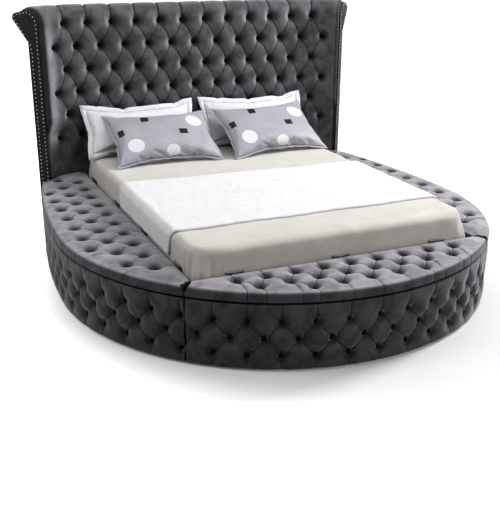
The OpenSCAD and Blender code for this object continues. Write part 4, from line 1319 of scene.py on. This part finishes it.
def throw_shape(along, across):
    """across runs once round the cloth's section: 0 to 1 on top, and back under it to 2."""
    turn = across % 2
    upper = turn <= 1
    t = np.where(upper, turn, 2 - turn)
    fallen = ramp(np.abs(along), throw_half - 0.15, throw_half)
    start = throw_from + 0.010 * fallen + 0.005 * np.sin(along * 13) + 0.002 * np.sin(along * 57 + 1)
    end = throw_to - 0.055 * along.clip(-0.7, 0.7) - 0.04 * fallen + 0.006 * np.sin(along * 9 + 2)
    y = start + (end - start) * t
    from_edge = np.minimum(t, 1 - t) * (end - start)
    rim = np.sqrt(np.clip(1 - (1 - np.clip(from_edge / throw_rim, 0, 1)) ** 2, 0, 1))
    curl = np.sin(along * 310 + np.sin(y * 260) * 2) * np.sin(y * 290 + np.sin(along * 240) * 2)
    curl += 0.6 * np.sin(along * 520 + y * 90) * np.sin(y * 610 - along * 80)
    drape = fallen * (0.0085 + 0.0015 * np.sin(y * 38)) * (np.abs(along) > flat_run)
    out = np.where(upper, 0.0015 + throw_thick * rim + 0.0013 * curl * rim, 0.0) + drape
    x, z = over_mattress(along, out)
    return np.stack([x, y, z], -1), {}


along = steps(-throw_half, throw_half, 0.007)
mesh = wrapped_skin("throw_fleece", along, np.linspace(0, 2, 241), throw_shape)
throw_fleece = piece("throw_fleece", mesh, "bed", fleece, ["throw"])

# %% [markdown]
# ## Pillows
# A pillow is two rectangles sewn together and stuffed: full in the middle, drawn in along its sides and
# thin at its four corners. Each starts as a thin envelope, and a cloth simulation blows it up until it
# wrinkles by itself. The shams' wide flanges, and the pillows' narrow ones, are flat strips sewn to the
# seam afterwards.

# %% Pillows: shape and simulation
envelope_t = 0.045
pressure, settled_at = 2.4, 22
pillow_wave = 0.0012


def pillow_points(w, h, t, seed):
    """A stuffed rectangle, standing on its long edge: x along it, y through it, z up it."""
    def shape(along, across):
        turn = across % 2
        upper = turn <= 1
        k = np.where(upper, 1.0, -1.0)
        u = along
        v = np.where(upper, 2 * turn - 1, 3 - 2 * turn)
        full = ((1 - u ** 4) * (1 - v ** 4)).clip(0, 1) ** 0.6
        rng = np.random.default_rng(seed)
        waves = np.zeros_like(u)
        for _ in range(9):
            a, b, c = rng.uniform(-7, 7, 3)
            waves += np.sin(a * u + b * v + c) * pillow_wave
        x, z = u * w / 2, v * h / 2
        half = full * t / 2 + waves * full
        return np.stack([x, -k * half, z], -1), {"cloth": np.stack([x, z, k * 0.1], -1)}
    return shape


def blown_up(mesh):
    """The mesh after its cloth has been blown up from inside and has settled."""
    holder = held("envelope", mesh)
    cloth = holder.modifiers.new("Cloth", "CLOTH")
    settings = cloth.settings
    settings.quality = 5
    settings.mass = 0.3
    settings.tension_stiffness = settings.compression_stiffness = 15
    settings.shear_stiffness = 5
    settings.bending_stiffness = 0.25
    settings.use_pressure = True
    settings.uniform_pressure_force = pressure
    settings.effector_weights.gravity = 0
    cloth.point_cache.frame_end = settled_at
    for number in range(1, settled_at + 1):
        scene.frame_set(number)
    made = taken_from(holder)
    scene.frame_set(1)
    return made


def fitted(mesh, w, h, t):
    """Scale a pillow to its made-up size."""
    at = coordinates(mesh)
    low, high = at.min(axis=0), at.max(axis=0)
    at -= (high + low) / 2
    set_coordinates(mesh, at * (np.array([w, t, h]) / (high - low)))


def leaning(mesh, lean, turn, x, y):
    tilt = Matrix.Rotation(turn, 3, "Z") @ Matrix.Rotation(-lean, 3, "X")
    at = coordinates(mesh) @ np.array(tilt).T
    set_coordinates(mesh, at + np.array([x, y + shift_y, mattress_top + 0.0006 - at[:, 2].min()]))


# %% Pillows: flanges
seam_near = 1e-4
tuck, seam_half, edge_half = 0.003, 0.0016, 0.0014
off_print = Vector((9, 9, 0.1))


def with_flange(mesh, w, h, wide):
    """Sew a flat border of cloth to the pillow's seam, as a closed strip."""
    bm = bmesh.new()
    bm.from_mesh(mesh)
    cloth = bm.verts.layers.float_vector["cloth"]

    def walked(v):
        """How far round the seam a vertex lies, from the pillow's lower left corner."""
        x, y = v[cloth].x, v[cloth].y
        if abs(y + h / 2) < seam_near:
            return x + w / 2
        if abs(x - w / 2) < seam_near:
            return w + y + h / 2
        if abs(y - h / 2) < seam_near:
            return w + h + w / 2 - x
        return 2 * w + h + h / 2 - y

    def outward(value, half, start, width):
        return math.copysign(min(1, max(0, abs(value) / half - start) / width), value)

    def on_seam(v):
        return abs(abs(v[cloth].x) - w / 2) < seam_near or abs(abs(v[cloth].y) - h / 2) < seam_near

    loops = []
    for v in sorted(filter(on_seam, bm.verts), key=walked):
        out = Vector((outward(v[cloth].x, w / 2, 0.93, 0.07), 0, outward(v[cloth].y, h / 2, 0.88, 0.12)))
        lift = 0.0035 * math.sin(walked(v) * 31) + 0.003 * math.sin(walked(v) * 13 + 1)
        ring = [(-tuck, -seam_half), (wide, lift - edge_half), (wide, lift + edge_half), (-tuck, seam_half)]
        loops.append([v.co + out * reach + Vector((0, through, 0)) for reach, through in ring])
    loops = [[bm.verts.new(place) for place in ring] for ring in loops]
    for ring in loops:
        for v in ring:
            v[cloth] = off_print
    for a, b in zip(loops, loops[1:] + loops[:1]):
        for k in range(4):
            bm.faces.new((a[k], b[k], b[(k + 1) % 4], a[(k + 1) % 4])).smooth = k != 1
    bmesh.ops.recalc_face_normals(bm, faces=bm.faces)
    bm.to_mesh(mesh)
    bm.free()


# %% Pillows and shams
def pillow(name, replaced, size, flange, lean, turn, x, foot_y, slot, material, seed):
    """A pillow that leans back by some degrees over its lower edge, which lies at foot_y."""
    w, h, t = size
    across = np.linspace(0, 2, 117)
    along = np.sin(np.linspace(-math.pi / 2, math.pi / 2, 91)) * 0.45 + np.linspace(-1, 1, 91) * 0.55
    body_w, body_h = w - 2 * flange, h - 2 * flange
    envelope = wrapped_skin(name, along, across, pillow_points(body_w, body_h, envelope_t, seed))
    mesh = blown_up(envelope)
    mesh.transform(Matrix.Translation((0, -shift_y, 0)))
    fitted(mesh, body_w, body_h, t)
    with_flange(mesh, body_w, body_h, flange)
    lean = math.radians(lean)
    leaning(mesh, lean, math.radians(turn), x, foot_y + h / 2 * math.sin(lean))
    made = piece(name, mesh, "bed", material, [replaced])


sham = dict(size=(0.76, 0.365, 0.115), flange=0.036, foot_y=headboard_y - 0.225, slot="white_cotton",
            material=percale, lean=30)
cushion = dict(size=(0.70, 0.47, 0.15), flange=0.012, slot="printed_cotton", material=printed)
pillow_y = headboard_y - 0.545
pillow("left_sham", "sham_left", turn=0, x=-0.418, seed=1, **sham)
pillow("right_sham", "sham_right", turn=-1, x=0.385, seed=2, **sham)
pillow("left_pillow", "pillow_left", lean=59, turn=-1.5, x=-0.338, foot_y=pillow_y + 0.012, seed=3, **cushion)
pillow("right_pillow", "pillow_right", lean=57, turn=4.5, x=0.398, foot_y=pillow_y, seed=4, **cushion)

# %% [markdown]
# ## Nails
# Domed nails follow the edge of each wing's band: up its front, over the shoulder and round the lip,
# and down its back.

# %% Nails
nail_r, nail_thick, nail_pitch = 0.0046, 0.0032, 0.0245
nail_inset = 0.012


def nail_line():
    """The nails' line on a wing's end, as points behind the buttons' plane and above the floor."""
    line = [(nail_inset, z) for z in np.linspace(0.022, top_row, 60)]
    wide, high, small = shoulder_o - nail_inset, shoulder_z - nail_inset, lip_r - nail_inset
    for a in np.linspace(0.1, math.pi / 2, 12):
        line.append((shoulder_o - wide * math.cos(a), top_row + high * math.sin(a)))
    for a in np.radians(np.linspace(80, -38, 8)):
        line.append((lip_o + small * math.cos(a), lip_z + small * math.sin(a)))
    line += [(0.0895, 1.262), (0.060, 1.225)] + [(0.054, z) for z in np.linspace(1.19, 0.022, 50)]
    return np.array(line)


def on_band(o, z, k):
    out = Vector((k * math.cos(wing_turn), -math.sin(wing_turn), 0))
    along_o = Vector((k * math.sin(wing_turn), math.cos(wing_turn), 0))
    return Vector((k * wing_start, wing_middle_y, z)) + along_o * (wing_r + o), out


line = nail_line()
walked = np.concatenate([[0], np.cumsum(np.hypot(*np.diff(line, axis=0).T))])
spots = np.arange(0, walked[-1], nail_pitch)
nail_spots = np.stack([np.interp(spots, walked, line[:, 0]), np.interp(spots, walked, line[:, 1])], -1)
chrome, tree, shader, place = new_material("Nail chrome")
haze = noise(tree, place, 200.0, 3.0)
tone = ramp_of(tree, haze, [(0.3, (0.26, 0.255, 0.255)), (0.7, (0.36, 0.35, 0.35))])
set_inputs(tree, shader, {"Base Color": tone, "Metallic": fade(tree, haze, 0.0, 0.2, 0.95, 1.0),
                          "Roughness": scaled(tree, haze, 0.15, 0.24)})
for wing, k in (("left", -1), ("right", 1)):
    nails = [on_band(o, z, k) for o, z in nail_spots]
    joined_domes(f"{wing}_wing_nails", nails, nail_r, nail_thick, "bed", chrome, 8, 4)

# %% [markdown]
# ## Floor, light and world
# A white floor and a white world stand in for the studio. The floor looks white to the camera and to
# glossy things, yet keeps the bed's shadow: near the bed its white glow fades out, which paints a
# darker zone round that shadow. A wide soft lamp over the bed, a strong one from the right and two
# fills make the pile shine. The view adds a little contrast.

# %% Floor
def seen_directly(tree):
    """1 for what the camera sees, also in a mirror or through glass, and 0 for what lights the room."""
    path = add(tree, "ShaderNodeLightPath").outputs
    direct = maths(tree, "MAXIMUM", path["Is Camera Ray"], path["Is Glossy Ray"])
    return path, maths(tree, "MAXIMUM", direct, path["Is Transmission Ray"])


shadow_middle = (0.3, -0.25, 0.0)
shadow_r, white_r = 1.3, 1.95
bm = bmesh.new()
bmesh.ops.create_grid(bm, x_segments=1, y_segments=1, size=12.0)
floor = bpy.data.objects.new("floor", mesh_from(bm, "floor"))
scene.collection.objects.link(floor)
floor_white, tree, shader, place = new_material("Studio floor", Specular_IOR_Level=0.0)
mottle = noise(tree, place, 3.0)
path, seen = seen_directly(tree)
bright = ramp_of(tree, mottle, [(0.0, (0.62, 0.62, 0.62)), (1.0, (0.64, 0.64, 0.64))])
dull = mixed(tree, path["Is Camera Ray"], (0.3, 0.3, 0.3, 1), bright)
set_inputs(tree, shader, {"Base Color": dull, "Roughness": scaled(tree, mottle, 0.02, 0.9)})
away = add(tree, "ShaderNodeVectorMath", {0: place, 1: shadow_middle}, operation="DISTANCE").outputs["Value"]
# painted shadow: the glow fades out round a point beside the bed, which darkens the floor there
shine = times(tree, seen, fade(tree, away, shadow_r, white_r, 0.06, 1.0))
glow = add(tree, "ShaderNodeEmission", {"Color": (1, 1, 1, 1), "Strength": shine})
both = add(tree, "ShaderNodeAddShader", {0: shader.outputs[0], 1: glow.outputs[0]})
set_inputs(tree, tree.nodes["Material Output"], {"Surface": both.outputs[0]})
floor.data.materials.append(floor_white)

# %% Lamps and world
def soft_lamp(name, place, aim, size, power):
    light = bpy.data.lights.new(name, "AREA")
    light.shape = "RECTANGLE"
    light.size, light.size_y = size
    light.energy = power
    lamp = bpy.data.objects.new(name, light)
    lamp.location = place
    lamp.rotation_euler = (Vector(aim) - Vector(place)).to_track_quat("-Z", "Y").to_euler()
    scene.collection.objects.link(lamp)


soft_lamp("overhead", (-0.4, -0.5, 3.9), (0.0, 0.2, 0.4), (3.0, 2.6), 48)
soft_lamp("key", (3.9, -0.2, 3.0), (-0.4, 0.7, 0.8), (1.2, 1.2), 210)
soft_lamp("left fill", (-3.7, 0.2, 3.1), (-0.8, 0, 0.4), (2.0, 1.6), 62)
soft_lamp("front fill", (1.8, -4.5, 2.0), (0, 0, 0.4), (2.4, 1.6), 72)
world = bpy.data.worlds.new("Studio")
scene.world = world
world.use_nodes = True
tree = world.node_tree
strength = scaled(tree, seen_directly(tree)[1], 0.8, 0.2)
set_inputs(tree, tree.nodes["Background"], {"Color": (1, 1, 1, 1), "Strength": strength})
scene.view_settings.view_transform = "Standard"
scene.view_settings.look = "Medium High Contrast"
